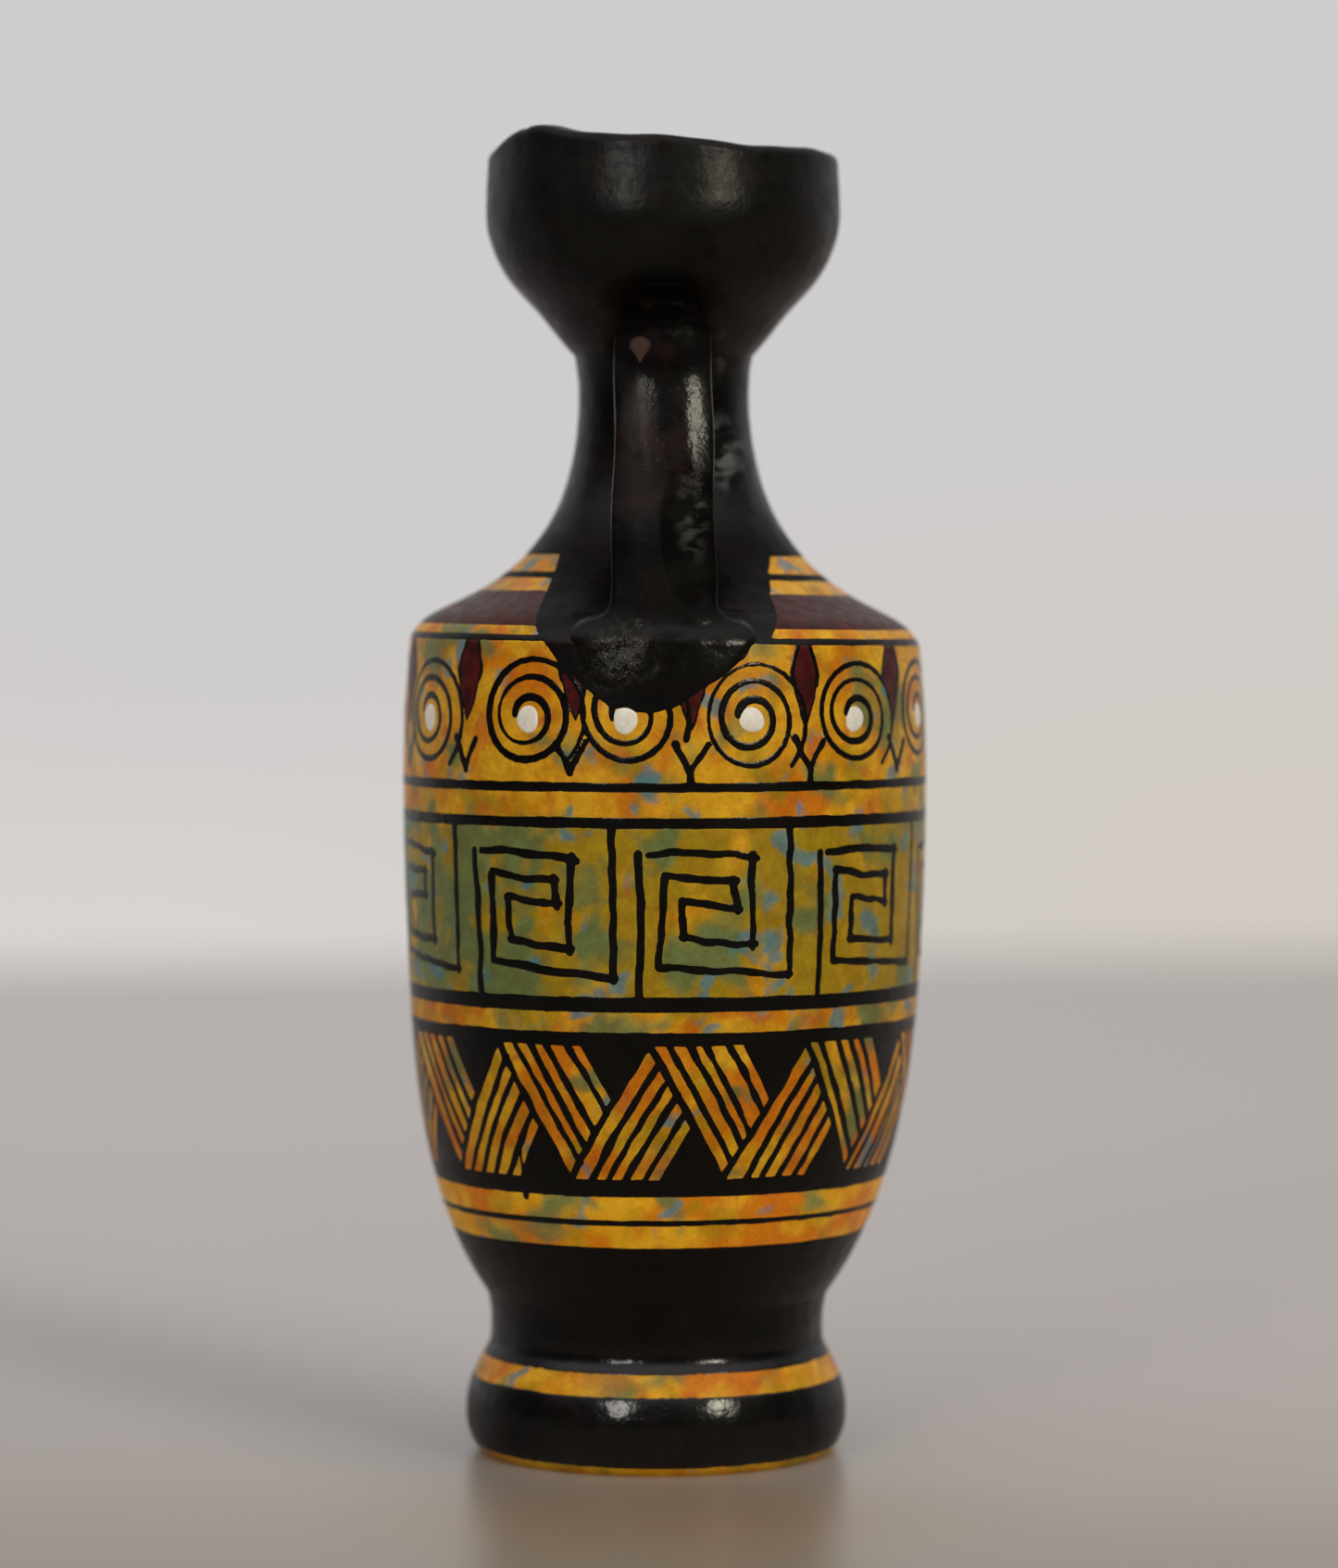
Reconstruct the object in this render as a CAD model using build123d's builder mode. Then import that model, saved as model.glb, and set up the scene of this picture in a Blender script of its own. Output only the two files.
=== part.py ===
"""A small hand-thrown lekythos: a one-handled oil flask with a cup mouth, built from thrown sections luted with slip.

Frame: millimetres, +Z up, origin at the centre of the foot's resting ring. The handle stands on the -Y side.
"""

from build123d import *
from math import radians, tan
import os

# Overall heights of the joints, from the resting plane up.
FOOT_TOP = 18.4
BODY_TOP = 93.2
NECK_TOP = 126.1
RIM_HEIGHT = 150.6
RIM_TILT = 2.2  # degrees: the lip was cut by hand and stands higher on the -X side

# Outer radii that the whole outline hangs on.
REST_RADIUS = 20.2
TORUS_RADIUS = 22.0
WAIST_RADIUS = 19.2
CREASE_RADIUS = 19.7
BODY_RADIUS = 30.05
ARRIS_RADIUS = 29.3
NECK_RADIUS = 9.7
CUP_FOOT_RADIUS = 10.15
MOUTH_RADIUS = 20.3

# Wall thicknesses and the passage through the neck.
BODY_WALL = 3.0
FLOOR = 3.4
MOUTH_WALL = 2.7
LIP_ROUNDING = 1.0
BORE_RADIUS = 6.4
BORE_BOTTOM = 110.0

# Foot underside and the socket that takes the body's nub.
RECESS_RADIUS = 15.4
RECESS_DEPTH = 9.5
RECESS_DOME = [(8.6, 7.9), (13.2, 3.5)]  # the hollow's roof passes through these
NUB_RADIUS = 14.6
NUB_DEPTH = 2.8

# Key joints: a spigot on one section enters a rebate in the next.
MOUTH_SPIGOT_RADIUS = 8.2
MOUTH_SPIGOT_HEIGHT = 2.0
BODY_SPIGOT_RADIUS = 26.6
BODY_SPIGOT_WALL = 1.5
BODY_SPIGOT_DEPTH = 2.4

# Slip channels: shallow scored rings in each joint face, filled with luting slip.
SLIP_DEPTH = 0.35
MOUTH_SLIP = (MOUTH_SPIGOT_RADIUS, 9.3)
BODY_SLIP = (BODY_SPIGOT_RADIUS, 28.4)
FOOT_SLIP = (NUB_RADIUS, 18.2)

# Handle: a pulled strap, from the underside of the mouth down to the shoulder's edge.
STRAP_WIDTH_TOP = 10.8
STRAP_WIDTH_BOTTOM = 12.2
STRAP_THICKNESS = 4.0
OUTER_CROWN = 1.5
INNER_CROWN = 0.4
STRAP_EDGE = 0.6
STRAP_PATH = [
    (10.5, 128.2),
    (14.2, 128.9),
    (17.6, 127.7),
    (19.6, 124.2),
    (20.7, 119.2),
    (21.75, 113.0),
    (23.0, 107.0),
    (24.7, 101.0),
    (27.3, 93.8),
]
STRAP_STATIONS = 9

# Wads of clay round the handle's ends: distance from the axis, height, half width, half depth.
UPPER_LUTE = (11.4, 129.6, 6.6, 4.8)
LOWER_LUTE = (24.2, 92.8, 10.8, 6.5)


def foot_outline():
    """Outer edge of the foot: rest ring, torus, waist and the crease under the body."""
    torus = Spline(
        (REST_RADIUS, 0),
        (TORUS_RADIUS, 5.4),
        (20.95, 9.5),
        (19.75, 11.8),
        (WAIST_RADIUS, 14.6),
        tangents=[(1, 0.9), (0, 1)],
    )
    waist = ThreePointArc(torus @ 1, (WAIST_RADIUS + 0.1, 16.6), (CREASE_RADIUS, FOOT_TOP))
    return waist @ 1


def body_outline():
    """Outer edge of the body wall, from the crease to the shoulder's arris."""
    wall = Spline(
        (CREASE_RADIUS, FOOT_TOP),
        (24.1, 26.4),
        (26.85, 34.9),
        (28.5, 44.0),
        (29.55, 56.3),
        (BODY_RADIUS, 70.0),
        (BODY_RADIUS, 82.0),
        (ARRIS_RADIUS, BODY_TOP),
    )
    return wall @ 1


def shoulder_outline():
    """Outer edge of the rounded arris, the sloping shoulder and the concave neck."""
    slope = Spline(
        (ARRIS_RADIUS, BODY_TOP),
        (27.9, 95.25),
        (25.1, 96.95),
        (21.3, 98.9),
        (17.2, 101.9),
        (13.9, 105.8),
        (11.75, 110.0),
        (10.5, 114.3),
        (9.87, 118.4),
    )
    throat = ThreePointArc(slope @ 1, (NECK_RADIUS, 121.6), (CUP_FOOT_RADIUS, NECK_TOP))
    return throat @ 1


def mouth_outline():
    """Outer edge of the cup mouth: flaring underside, full belly and upright lip."""
    cup = Spline(
        (CUP_FOOT_RADIUS, NECK_TOP),
        (14.2, 130.9),
        (18.0, 135.3),
        (19.9, 139.6),
        (MOUTH_RADIUS, 145.0),
        tangents=[(1, 1.0), (0, 1)],
    )
    lip = Line(cup @ 1, (MOUTH_RADIUS - 0.3, RIM_HEIGHT + 1))
    return lip @ 1


# The space inside the outer skin, as one solid: the handle and its lutes are trimmed to it.
with BuildPart() as envelope:
    with BuildSketch(Plane.XZ):
        with BuildLine():
            foot_outline()
            body_outline()
            shoulder_outline()
            lip_end = mouth_outline()
            Polyline(lip_end, (0, RIM_HEIGHT + 1), (0, 0), (REST_RADIUS, 0))
        make_face()
    revolve(axis=Axis.Z)


def slip_ring(radii, top):
    """A thin flat ring of luting slip that fills the scored channel below a joint face."""
    inner, outer = radii
    with BuildPart() as ring:
        with BuildSketch(Plane.XY.offset(top - SLIP_DEPTH)):
            Circle(outer)
            Circle(inner, mode=Mode.SUBTRACT)
        extrude(amount=SLIP_DEPTH)
    return ring.part


mouth_slip_ring = slip_ring(MOUTH_SLIP, NECK_TOP)
shoulder_slip_ring = slip_ring(BODY_SLIP, BODY_TOP)
foot_slip_ring = slip_ring(FOOT_SLIP, FOOT_TOP)

# Foot: torus and waist in one turned piece, hollowed underneath, with a socket on top.
with BuildPart() as foot:
    with BuildSketch(Plane.XZ):
        with BuildLine():
            crease = foot_outline()
            Polyline(
                crease,
                (NUB_RADIUS, FOOT_TOP),
                (NUB_RADIUS, FOOT_TOP - NUB_DEPTH),
                (0, FOOT_TOP - NUB_DEPTH),
                (0, RECESS_DEPTH),
            )
            dome = ThreePointArc((0, RECESS_DEPTH), *RECESS_DOME)
            Polyline(dome @ 1, (RECESS_RADIUS, 0), (REST_RADIUS, 0))
        make_face()
    revolve(axis=Axis.Z)
    add(foot_slip_ring, mode=Mode.SUBTRACT)

# Body: the tall wall with its own floor and a nub that keys into the foot.
with BuildPart() as body:
    with BuildSketch(Plane.XZ):
        with BuildLine():
            arris = body_outline()
            rim_step = (BODY_SPIGOT_RADIUS, BODY_TOP)
            step_foot = (BODY_SPIGOT_RADIUS, BODY_TOP - BODY_SPIGOT_DEPTH)
            Polyline(arris, rim_step, step_foot)
            inside = Spline(
                step_foot,
                (BODY_RADIUS - BODY_WALL, 74.0),
                (28.4 - BODY_WALL, 43.5),
                (18.6, 25.2),
                (8.0, FOOT_TOP - NUB_DEPTH + FLOOR + 0.6),
                (0, FOOT_TOP - NUB_DEPTH + FLOOR),
                tangents=[(0.1, -1), (-1, 0)],
            )
            Polyline(
                inside @ 1,
                (0, FOOT_TOP - NUB_DEPTH),
                (NUB_RADIUS, FOOT_TOP - NUB_DEPTH),
                (NUB_RADIUS, FOOT_TOP),
                (CREASE_RADIUS, FOOT_TOP),
            )
        make_face()
    revolve(axis=Axis.Z)
    add(shoulder_slip_ring, mode=Mode.SUBTRACT)

# Shoulder and neck: thrown as one funnel, with a spigot at each end and a straight bore.
with BuildPart() as shoulder_neck:
    with BuildSketch(Plane.XZ):
        with BuildLine():
            top = shoulder_outline()
            Polyline(
                top,
                (MOUTH_SPIGOT_RADIUS, NECK_TOP),
                (MOUTH_SPIGOT_RADIUS, NECK_TOP + MOUTH_SPIGOT_HEIGHT),
                (BORE_RADIUS, NECK_TOP + MOUTH_SPIGOT_HEIGHT),
                (BORE_RADIUS, BORE_BOTTOM),
            )
            funnel = Spline(
                (BORE_RADIUS, BORE_BOTTOM),
                (9.8, 103.0),
                (17.0, 97.2),
                (23.4, 93.8),
                (BODY_SPIGOT_RADIUS - BODY_SPIGOT_WALL, BODY_TOP - BODY_SPIGOT_DEPTH),
                tangents=[(0, -1), (0.5, -1)],
            )
            Polyline(
                funnel @ 1,
                (BODY_SPIGOT_RADIUS, BODY_TOP - BODY_SPIGOT_DEPTH),
                (BODY_SPIGOT_RADIUS, BODY_TOP),
                (ARRIS_RADIUS, BODY_TOP),
            )
        make_face()
    revolve(axis=Axis.Z)
    add(mouth_slip_ring, mode=Mode.SUBTRACT)

# Mouth: a deep cup with an upright lip, rebated below to sit over the neck's spigot.
with BuildPart() as mouth:
    with BuildSketch(Plane.XZ):
        with BuildLine():
            lip_end = mouth_outline()
            Line(lip_end, (MOUTH_RADIUS - MOUTH_WALL, RIM_HEIGHT + 1))
            bowl = Spline(
                (MOUTH_RADIUS - MOUTH_WALL, RIM_HEIGHT + 1),
                (MOUTH_RADIUS - MOUTH_WALL + 0.1, 144.0),
                (16.0, 137.6),
                (11.2, 132.6),
                (BORE_RADIUS, NECK_TOP + MOUTH_SPIGOT_HEIGHT),
                tangents=[(0, -1), (-0.6, -1)],
            )
            Polyline(
                bowl @ 1,
                (MOUTH_SPIGOT_RADIUS, NECK_TOP + MOUTH_SPIGOT_HEIGHT),
                (MOUTH_SPIGOT_RADIUS, NECK_TOP),
                (CUP_FOOT_RADIUS, NECK_TOP),
            )
        make_face()
    revolve(axis=Axis.Z)
    rim_centre = RIM_HEIGHT - MOUTH_RADIUS * tan(radians(RIM_TILT))
    rim_plane = Plane((0, 0, rim_centre), z_dir=(0, 0, 1)).rotated((0, RIM_TILT, 0))
    split(bisect_by=rim_plane, keep=Keep.BOTTOM)
    lip_edges = mouth.edges().group_by(Axis.Z)[-1]
    fillet(lip_edges, radius=LIP_ROUNDING)


with BuildLine(Plane.YZ) as strap_curve:
    Spline([(-r, z) for r, z in STRAP_PATH])
strap_line = strap_curve.line


def strap_section(share):
    """Cross-section at a share of the strap's length: a full crown outside, a shallow one inside."""
    half_width = (STRAP_WIDTH_TOP + (STRAP_WIDTH_BOTTOM - STRAP_WIDTH_TOP) * share**2) / 2
    half_thickness = STRAP_THICKNESS / 2
    outer_edge = half_thickness - OUTER_CROWN
    inner_edge = half_thickness - INNER_CROWN
    across = Plane(origin=strap_line @ share, x_dir=(1, 0, 0), z_dir=strap_line % share)
    with BuildSketch(across) as section:
        with BuildLine():
            crown = ThreePointArc((-half_width, outer_edge), (0, half_thickness), (half_width, outer_edge))
            side = Line(crown @ 1, (half_width, -inner_edge))
            belly = ThreePointArc(side @ 1, (0, -half_thickness), (-half_width, -inner_edge))
            Line(belly @ 1, crown @ 0)
        make_face()
        fillet(section.vertices(), radius=STRAP_EDGE)
    return section.sketch


with BuildPart() as strap:
    for station in range(STRAP_STATIONS):
        add(strap_section(station / (STRAP_STATIONS - 1)))
    loft()
full_strap = strap.part

# Handle: the strap, trimmed to the skin of the mouth and the shoulder.
with BuildPart() as handle:
    add(full_strap)
    add(envelope.part, mode=Mode.SUBTRACT)


def lute(centre_radius, centre_height, half_width, half_depth):
    """A wad of clay pressed round one end of the strap: a spheroid, trimmed to the strap and the pot's skin."""
    with BuildPart() as wad:
        with BuildSketch(Plane.XY):
            with BuildLine():
                outline = ThreePointArc((-1, 0), (0, 1), (1, 0))
                Line(outline @ 1, outline @ 0)
            make_face()
        revolve(axis=Axis.X)
        scale(by=(half_width, half_depth, half_depth))
    with BuildPart() as trimmed:
        add(wad.part.moved(Location((0, -centre_radius, centre_height))))
        add(full_strap, mode=Mode.SUBTRACT)
        add(envelope.part, mode=Mode.SUBTRACT)
    return trimmed.part


handle_upper_lute = lute(*UPPER_LUTE)
handle_lower_lute = lute(*LOWER_LUTE)

pieces = {
    "foot": foot.part,
    "body": body.part,
    "shoulder_neck": shoulder_neck.part,
    "mouth": mouth.part,
    "handle": handle.part,
    "handle_upper_lute": handle_upper_lute,
    "handle_lower_lute": handle_lower_lute,
    "foot_slip_ring": foot_slip_ring,
    "shoulder_slip_ring": shoulder_slip_ring,
    "mouth_slip_ring": mouth_slip_ring,
}

os.makedirs("parts", exist_ok=True)
for label, piece in pieces.items():
    piece.label = label
    export_step(piece, f"parts/{label}.step")
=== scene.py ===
"""Looks of the painted lekythos: hand-thrown skins, a smeared-on strap handle and brushed decoration.

Frame: metres, +Z up, the handle on the -Y side. The drawing code works in millimetres: an azimuth is 0 at the
handle and grows towards +X, and a height is above the resting plane.
"""

import math

import bmesh
import bpy
import numpy as np
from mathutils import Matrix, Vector
from mathutils.bvhtree import BVHTree


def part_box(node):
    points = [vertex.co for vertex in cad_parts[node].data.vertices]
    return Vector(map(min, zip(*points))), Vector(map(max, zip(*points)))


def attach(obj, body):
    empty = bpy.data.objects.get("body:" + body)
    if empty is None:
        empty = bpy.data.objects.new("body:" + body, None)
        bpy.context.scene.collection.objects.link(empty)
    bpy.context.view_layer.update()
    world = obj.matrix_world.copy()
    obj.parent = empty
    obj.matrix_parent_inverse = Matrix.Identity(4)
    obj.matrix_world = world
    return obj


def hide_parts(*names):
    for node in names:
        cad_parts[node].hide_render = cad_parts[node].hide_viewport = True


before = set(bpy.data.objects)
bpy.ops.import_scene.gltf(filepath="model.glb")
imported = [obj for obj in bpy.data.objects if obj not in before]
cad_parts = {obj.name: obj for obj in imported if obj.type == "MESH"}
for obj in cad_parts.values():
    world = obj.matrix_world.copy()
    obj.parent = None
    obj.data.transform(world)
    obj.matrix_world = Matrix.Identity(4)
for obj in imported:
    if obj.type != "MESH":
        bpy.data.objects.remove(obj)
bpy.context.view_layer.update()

MM = 0.001
CUT = 1e-4  # mm: sections are taken this far beside the meridian, so that no vertex lies on the cut
TAU = 2 * math.pi

# Heights of the thrown sections, in mm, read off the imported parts.
FOOT_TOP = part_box("foot")[1].z / MM
BODY_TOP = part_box("body")[1].z / MM
NECK_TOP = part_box("mouth")[0].z / MM
RIM_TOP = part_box("mouth")[1].z / MM

# Heights of the painted zones, in mm.
SPIRAL_ZONE = (78.1, 93.3)
MEANDER_ZONE = (54.5, 73.0)
ZIGZAG_ZONE = (34.1, 49.0)
NECK_PAINT_END = 103.1
THIN_LINE = (28.65, 29.42)
LOWER_PAINT = (11.3, 26.2)
TORUS_PAINT = (0.95, 9.0)


# ---------------------------------------------------------------- outline of the thrown form


def vertices_of(mesh):
    points = np.empty(len(mesh.vertices) * 3)
    mesh.vertices.foreach_get("co", points)
    return points.reshape(-1, 3)


def walked(points):
    """How far along a line of points each of them lies."""
    return np.insert(np.cumsum(np.linalg.norm(np.diff(points, axis=0), axis=1)), 0, 0)


def cut_section(node):
    """The node's cross-section on the +X side as (radius, height) points in mm, and whether it closes."""
    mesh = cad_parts[node].data
    mesh.calc_loop_triangles()
    points = vertices_of(mesh) / MM
    corners = np.empty(len(mesh.loop_triangles) * 3, int)
    mesh.loop_triangles.foreach_get("vertices", corners)
    corners = corners.reshape(-1, 3)
    beyond = points[:, 1] > CUT
    crossed = corners[beyond[corners].any(1) & ~beyond[corners].all(1)]
    neighbours = {}
    for triangle in crossed:
        ends = []
        for a, b in ((0, 1), (1, 2), (2, 0)):
            a, b = triangle[a], triangle[b]
            if beyond[a] != beyond[b]:
                p, q = sorted((tuple(points[a]), tuple(points[b])))
                share = (CUT - p[1]) / (q[1] - p[1])
                ends.append((p[0] + share * (q[0] - p[0]), p[2] + share * (q[2] - p[2])))
        if ends[0] != ends[1]:
            neighbours.setdefault(ends[0], []).append(ends[1])
            neighbours.setdefault(ends[1], []).append(ends[0])
    here = max(neighbours)
    loop, before = [here], None
    while True:
        onward = [p for p in neighbours[here] if p != before]
        before, here = here, onward[0]
        if here == loop[0]:
            break
        loop.append(here)
    loop = np.array(loop)
    closed = bool((loop[:, 0] > 0).all())
    if not closed:
        start = next(i for i in range(len(loop)) if loop[i - 1, 0] <= 0 < loop[i, 0])
        loop = np.roll(loop, -start, axis=0)
        loop = loop[: np.argmax(loop[:, 0] <= 0)]
        first, last = loop[0].copy(), loop[-1].copy()
        first[0] = last[0] = 0
        loop = np.vstack([first, loop, last])
    gaps = np.linalg.norm(np.diff(loop, axis=0), axis=1)
    return loop[np.insert(gaps > 0.02, 0, True)], closed


def bend_through(run, step):
    """Points about a step apart on a smooth curve through a run of points."""
    length = walked(run)
    places = np.linspace(0, length[-1], max(2, round(length[-1] / step) + 1))
    if len(run) < 3:
        return np.column_stack([np.interp(places, length, run[:, k]) for k in range(run.shape[1])])
    slope = np.gradient(run, length, axis=0)
    i = np.clip(np.searchsorted(length, places, "right") - 1, 0, len(run) - 2)
    span = (length[i + 1] - length[i])[:, None]
    u = (places - length[i])[:, None] / span
    return (
        (2 * u**3 - 3 * u**2 + 1) * run[i]
        + (u**3 - 2 * u**2 + u) * span * slope[i]
        + (3 * u**2 - 2 * u**3) * run[i + 1]
        + (u**3 - u**2) * span * slope[i + 1]
    )


def smooth_section(node, step):
    """The node's section resampled at even steps, with its corners kept sharp."""
    loop, closed = cut_section(node)
    before, after = loop - np.roll(loop, 1, axis=0), np.roll(loop, -1, axis=0) - loop
    turn = np.abs(np.arctan2(np.cross(before, after), (before * after).sum(1)))
    corner = turn > math.radians(32)
    if closed:
        start = int(np.argmax(corner))
        loop, corner = np.roll(loop, -start, axis=0), np.roll(corner, -start)
        loop, corner = np.vstack([loop, loop[:1]]), np.append(corner, True)
    corner[0] = corner[-1] = True
    marks = np.flatnonzero(corner)
    runs = [bend_through(loop[a : b + 1], step)[:-1] for a, b in zip(marks, marks[1:])]
    if not closed:
        runs.append(loop[-1:])
    return np.vstack(runs), closed


def outermost(section, closed):
    """The points of a section that have nothing further out at their height."""
    ends = np.roll(section, -1, axis=0) if closed else section[1:]
    starts = section if closed else section[:-1]
    kept = []
    for radius, height in section:
        crossing = (starts[:, 1] - height) * (ends[:, 1] - height) <= 0
        crossing &= starts[:, 1] != ends[:, 1]
        a, b = starts[crossing], ends[crossing]
        reach = a[:, 0] + (b[:, 0] - a[:, 0]) * (height - a[:, 1]) / (b[:, 1] - a[:, 1])
        if len(reach) == 0 or radius >= reach.max() - 0.01:
            kept.append((radius, height))
    return kept


SECTIONS = {node: smooth_section(node, 0.3) for node in ("foot", "body", "shoulder_neck", "mouth")}
SPANS = {
    "foot": (0, FOOT_TOP),
    "body": (FOOT_TOP, BODY_TOP),
    "shoulder_neck": (BODY_TOP, NECK_TOP),
    "mouth": (NECK_TOP, RIM_TOP),
}


def trace_outline():
    """The whole pot's outer edge, from the resting plane to the rim, as (radius, height) points in mm."""
    points = []
    for node, (low, high) in SPANS.items():
        points += [p for p in outermost(*SECTIONS[node]) if low - 1e-3 <= p[1] <= high + 1e-3]
    points = np.array(sorted(points, key=lambda p: (p[1], -p[0])))
    fresh = np.insert(np.diff(points[:, 1]) > 1e-3, 0, True)
    return points[fresh]


OUTLINE = trace_outline()
WALK = walked(OUTLINE)


def walk_at(height):
    """Distance along the outline, from the resting plane up, at a height."""
    return np.interp(height, OUTLINE[:, 1], WALK)


def radius_at(height):
    return np.interp(height, OUTLINE[:, 1], OUTLINE[:, 0])


def height_on(walk):
    return np.interp(walk, WALK, OUTLINE[:, 1])


def radius_on(walk):
    return np.interp(walk, WALK, OUTLINE[:, 0])


# ---------------------------------------------------------------- the thrower's hand


def bump(value, centre, width):
    return np.exp(-(((value - centre) / width) ** 2))


def ramp(value, low, high):
    """0 below low, 1 above high, and smooth between."""
    u = np.clip((value - low) / (high - low), 0, 1)
    return u * u * (3 - 2 * u)


def wrapped(azimuth, centre):
    """Azimuth measured from a centre, in degrees, between -180 and 180."""
    return (np.degrees(azimuth) - centre + 180) % 360 - 180


def lean(height):
    """Sideways drift of the axis, in mm: the foot sits a little to the left of the body."""
    return -0.85 + 0.95 * ramp(height, 4, 62) - 0.2 * ramp(height, 92, 140)


def wobble(azimuth, height):
    """How far the thrower's hands left the wall in or out, in mm."""
    slow = 0.10 * np.sin(2 * azimuth + 0.6 + height / 35) + 0.06 * np.sin(3 * azimuth - 1.1 - height / 50)
    rings = 0.006 * np.sin(2.3 * height + np.sin(azimuth)) + 0.010 * np.sin(0.9 * height - np.cos(azimuth))
    dents = 0.05 * np.sin(5 * azimuth + height / 9) * np.sin(height / 7 + 2 * np.sin(azimuth))
    lip_lean = -0.85 * ramp(height, 139, 149) * bump(wrapped(azimuth, 0), 0, 75)
    return slow + rings + dents * ramp(height, 20, 110) + lip_lean


# Where the cut lip rises or dips: azimuth and half width in degrees, height in mm. The last one is a nick.
LIP_RISES = [(-50, 16, 1.0), (-90, 22, -1.35), (32, 22, -0.45), (150, 25, -0.4), (-54, 1.6, -0.15)]


def lift(azimuth, radius, height):
    """How far the hand-cut lip and the tipped shoulder stand above or below the turned form, in mm."""
    lip = 0.78 * (1 - np.sin(azimuth))
    for centre, width, rise in LIP_RISES:
        lip = lip + rise * bump(wrapped(azimuth, centre), 0, width)
    lip += 0.06 * np.sin(7 * azimuth + 1) + 0.04 * np.sin(17 * azimuth + 2)
    shoulder = -0.45 * np.sin(azimuth) * (radius / 28) * bump(height, 96, 9)
    return lip * ramp(height, RIM_TOP - 9, RIM_TOP - 1.5) + shoulder


def place(azimuth, radius, height):
    """Where a point of the plain turned form ends up on the hand-made pot, in mm."""
    swell = radius + wobble(azimuth, height) * np.clip(radius / 8, 0, 1)
    x = swell * np.sin(azimuth) + lean(height)
    y = -swell * np.cos(azimuth)
    z = height + lift(azimuth, radius, height)
    return np.stack([x, y, z], axis=-1)


def on_skin(azimuth, walk, proud):
    """Points standing proud of the pot's outer skin by some mm, along its normal."""

    def skin(azimuth, walk):
        return place(azimuth, radius_on(walk), height_on(walk))

    nudge = 0.15
    turn = nudge / np.maximum(radius_on(walk), 1)
    across = skin(azimuth + turn, walk) - skin(azimuth - turn, walk)
    up = skin(azimuth, walk + nudge) - skin(azimuth, walk - nudge)
    normal = np.cross(across, up)
    normal /= np.linalg.norm(normal, axis=-1, keepdims=True)
    return skin(azimuth, walk) + normal * np.asarray(proud)[..., None]


# ---------------------------------------------------------------- meshes


def new_object(name, data):
    made = bpy.data.objects.new(name, data)
    bpy.context.scene.collection.objects.link(made)
    return made


def fit_piece(piece, replaced):
    """Puts a piece on the pot, in place of the CAD parts that it shows."""
    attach(piece, "root")
    if replaced:
        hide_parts(*replaced)
    return piece


def make_piece(name, points, faces, material, replaced=(), face_slots=None):
    """A smooth-shaded piece of the pot from points in mm."""
    mesh = bpy.data.meshes.new(name)
    mesh.from_pydata((np.asarray(points) * MM).tolist(), [], faces)
    for m in material if isinstance(material, (list, tuple)) else [material]:
        mesh.materials.append(m)
    if face_slots is not None:
        mesh.polygons.foreach_set("material_index", np.asarray(face_slots, dtype=np.int32))
    mesh.shade_smooth()
    mesh.update()
    return fit_piece(new_object(name, mesh), replaced)


def add_faces(shape, points, faces):
    verts = [shape.verts.new(p) for p in points]
    for f in faces:
        shape.faces.new([verts[i] for i in f])


def outward(points, faces):
    """The faces of a closed shape, all turned so that their normals point out."""
    shape = bmesh.new()
    add_faces(shape, points, faces)
    bmesh.ops.recalc_face_normals(shape, faces=shape.faces)
    shape.verts.index_update()
    turned = [[v.index for v in f.verts] for f in shape.faces]
    shape.free()
    return turned


def thrown_skin(node, columns, material, slot_rule=None):
    """A section of the pot as one closed shape: its own cross-section, turned and pushed about by hand."""
    section, closed = SECTIONS[node]
    azimuth = np.arange(columns) * TAU / columns
    ring = section if closed else section[1:-1]
    grid = place(azimuth[None, :], ring[:, :1], ring[:, 1:])
    points = grid.reshape(-1, 3)
    rows = len(ring)
    faces = []
    for row in range(rows if closed else rows - 1):
        a, b = row * columns, (row + 1) % rows * columns
        for c in range(columns):
            d = (c + 1) % columns
            faces.append((a + c, a + d, b + d, b + c))
    if not closed:
        poles = place(np.zeros(2), section[[0, -1], 0], section[[0, -1], 1])
        first, last = len(points), len(points) + 1
        points = np.vstack([points, poles])
        for c in range(columns):
            d = (c + 1) % columns
            faces.append((first, c, d))
            faces.append((last, (rows - 1) * columns + d, (rows - 1) * columns + c))
    faces = outward(points, faces)
    face_slots = None
    if slot_rule is not None:
        face_slots = [slot_rule(points[list(f)].mean(0)) for f in faces]
    skin = make_piece(node + "_skin", points, faces, material, (node,), face_slots)
    skin.data.set_sharp_from_angle(angle=math.radians(40))
    return skin


# ---------------------------------------------------------------- painting


def lattice_noise(rng, rows, columns, height, width, grain):
    """Smooth noise from -1 to 1 on a grid that wraps round its columns; grain is its feature size in mm."""
    down, round_ = max(2, int(height / grain) + 2), max(3, int(round(width / grain)))
    knots = rng.uniform(-1, 1, (down + 1, round_))
    v = np.linspace(0, down - 1, rows)
    u = np.arange(columns) * round_ / columns
    i, j = v.astype(int), u.astype(int)
    fv, fu = ramp(v - i, 0, 1)[:, None], ramp(u - j, 0, 1)[None, :]
    j, k = j % round_, (j + 1) % round_
    top = knots[i][:, j] * (1 - fu) + knots[i][:, k] * fu
    low = knots[i + 1][:, j] * (1 - fu) + knots[i + 1][:, k] * fu
    return top * (1 - fv) + low * fv


def off_segment(x, y, start, end):
    """How far grid points lie from a segment, and which share of its length they lie beside."""
    step = end - start
    share = np.clip(((x - start[0]) * step[0] + (y - start[1]) * step[1]) / max(step @ step, 1e-9), 0, 1)
    return np.hypot(x - start[0] - share * step[0], y - start[1] - share * step[1]), share


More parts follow.
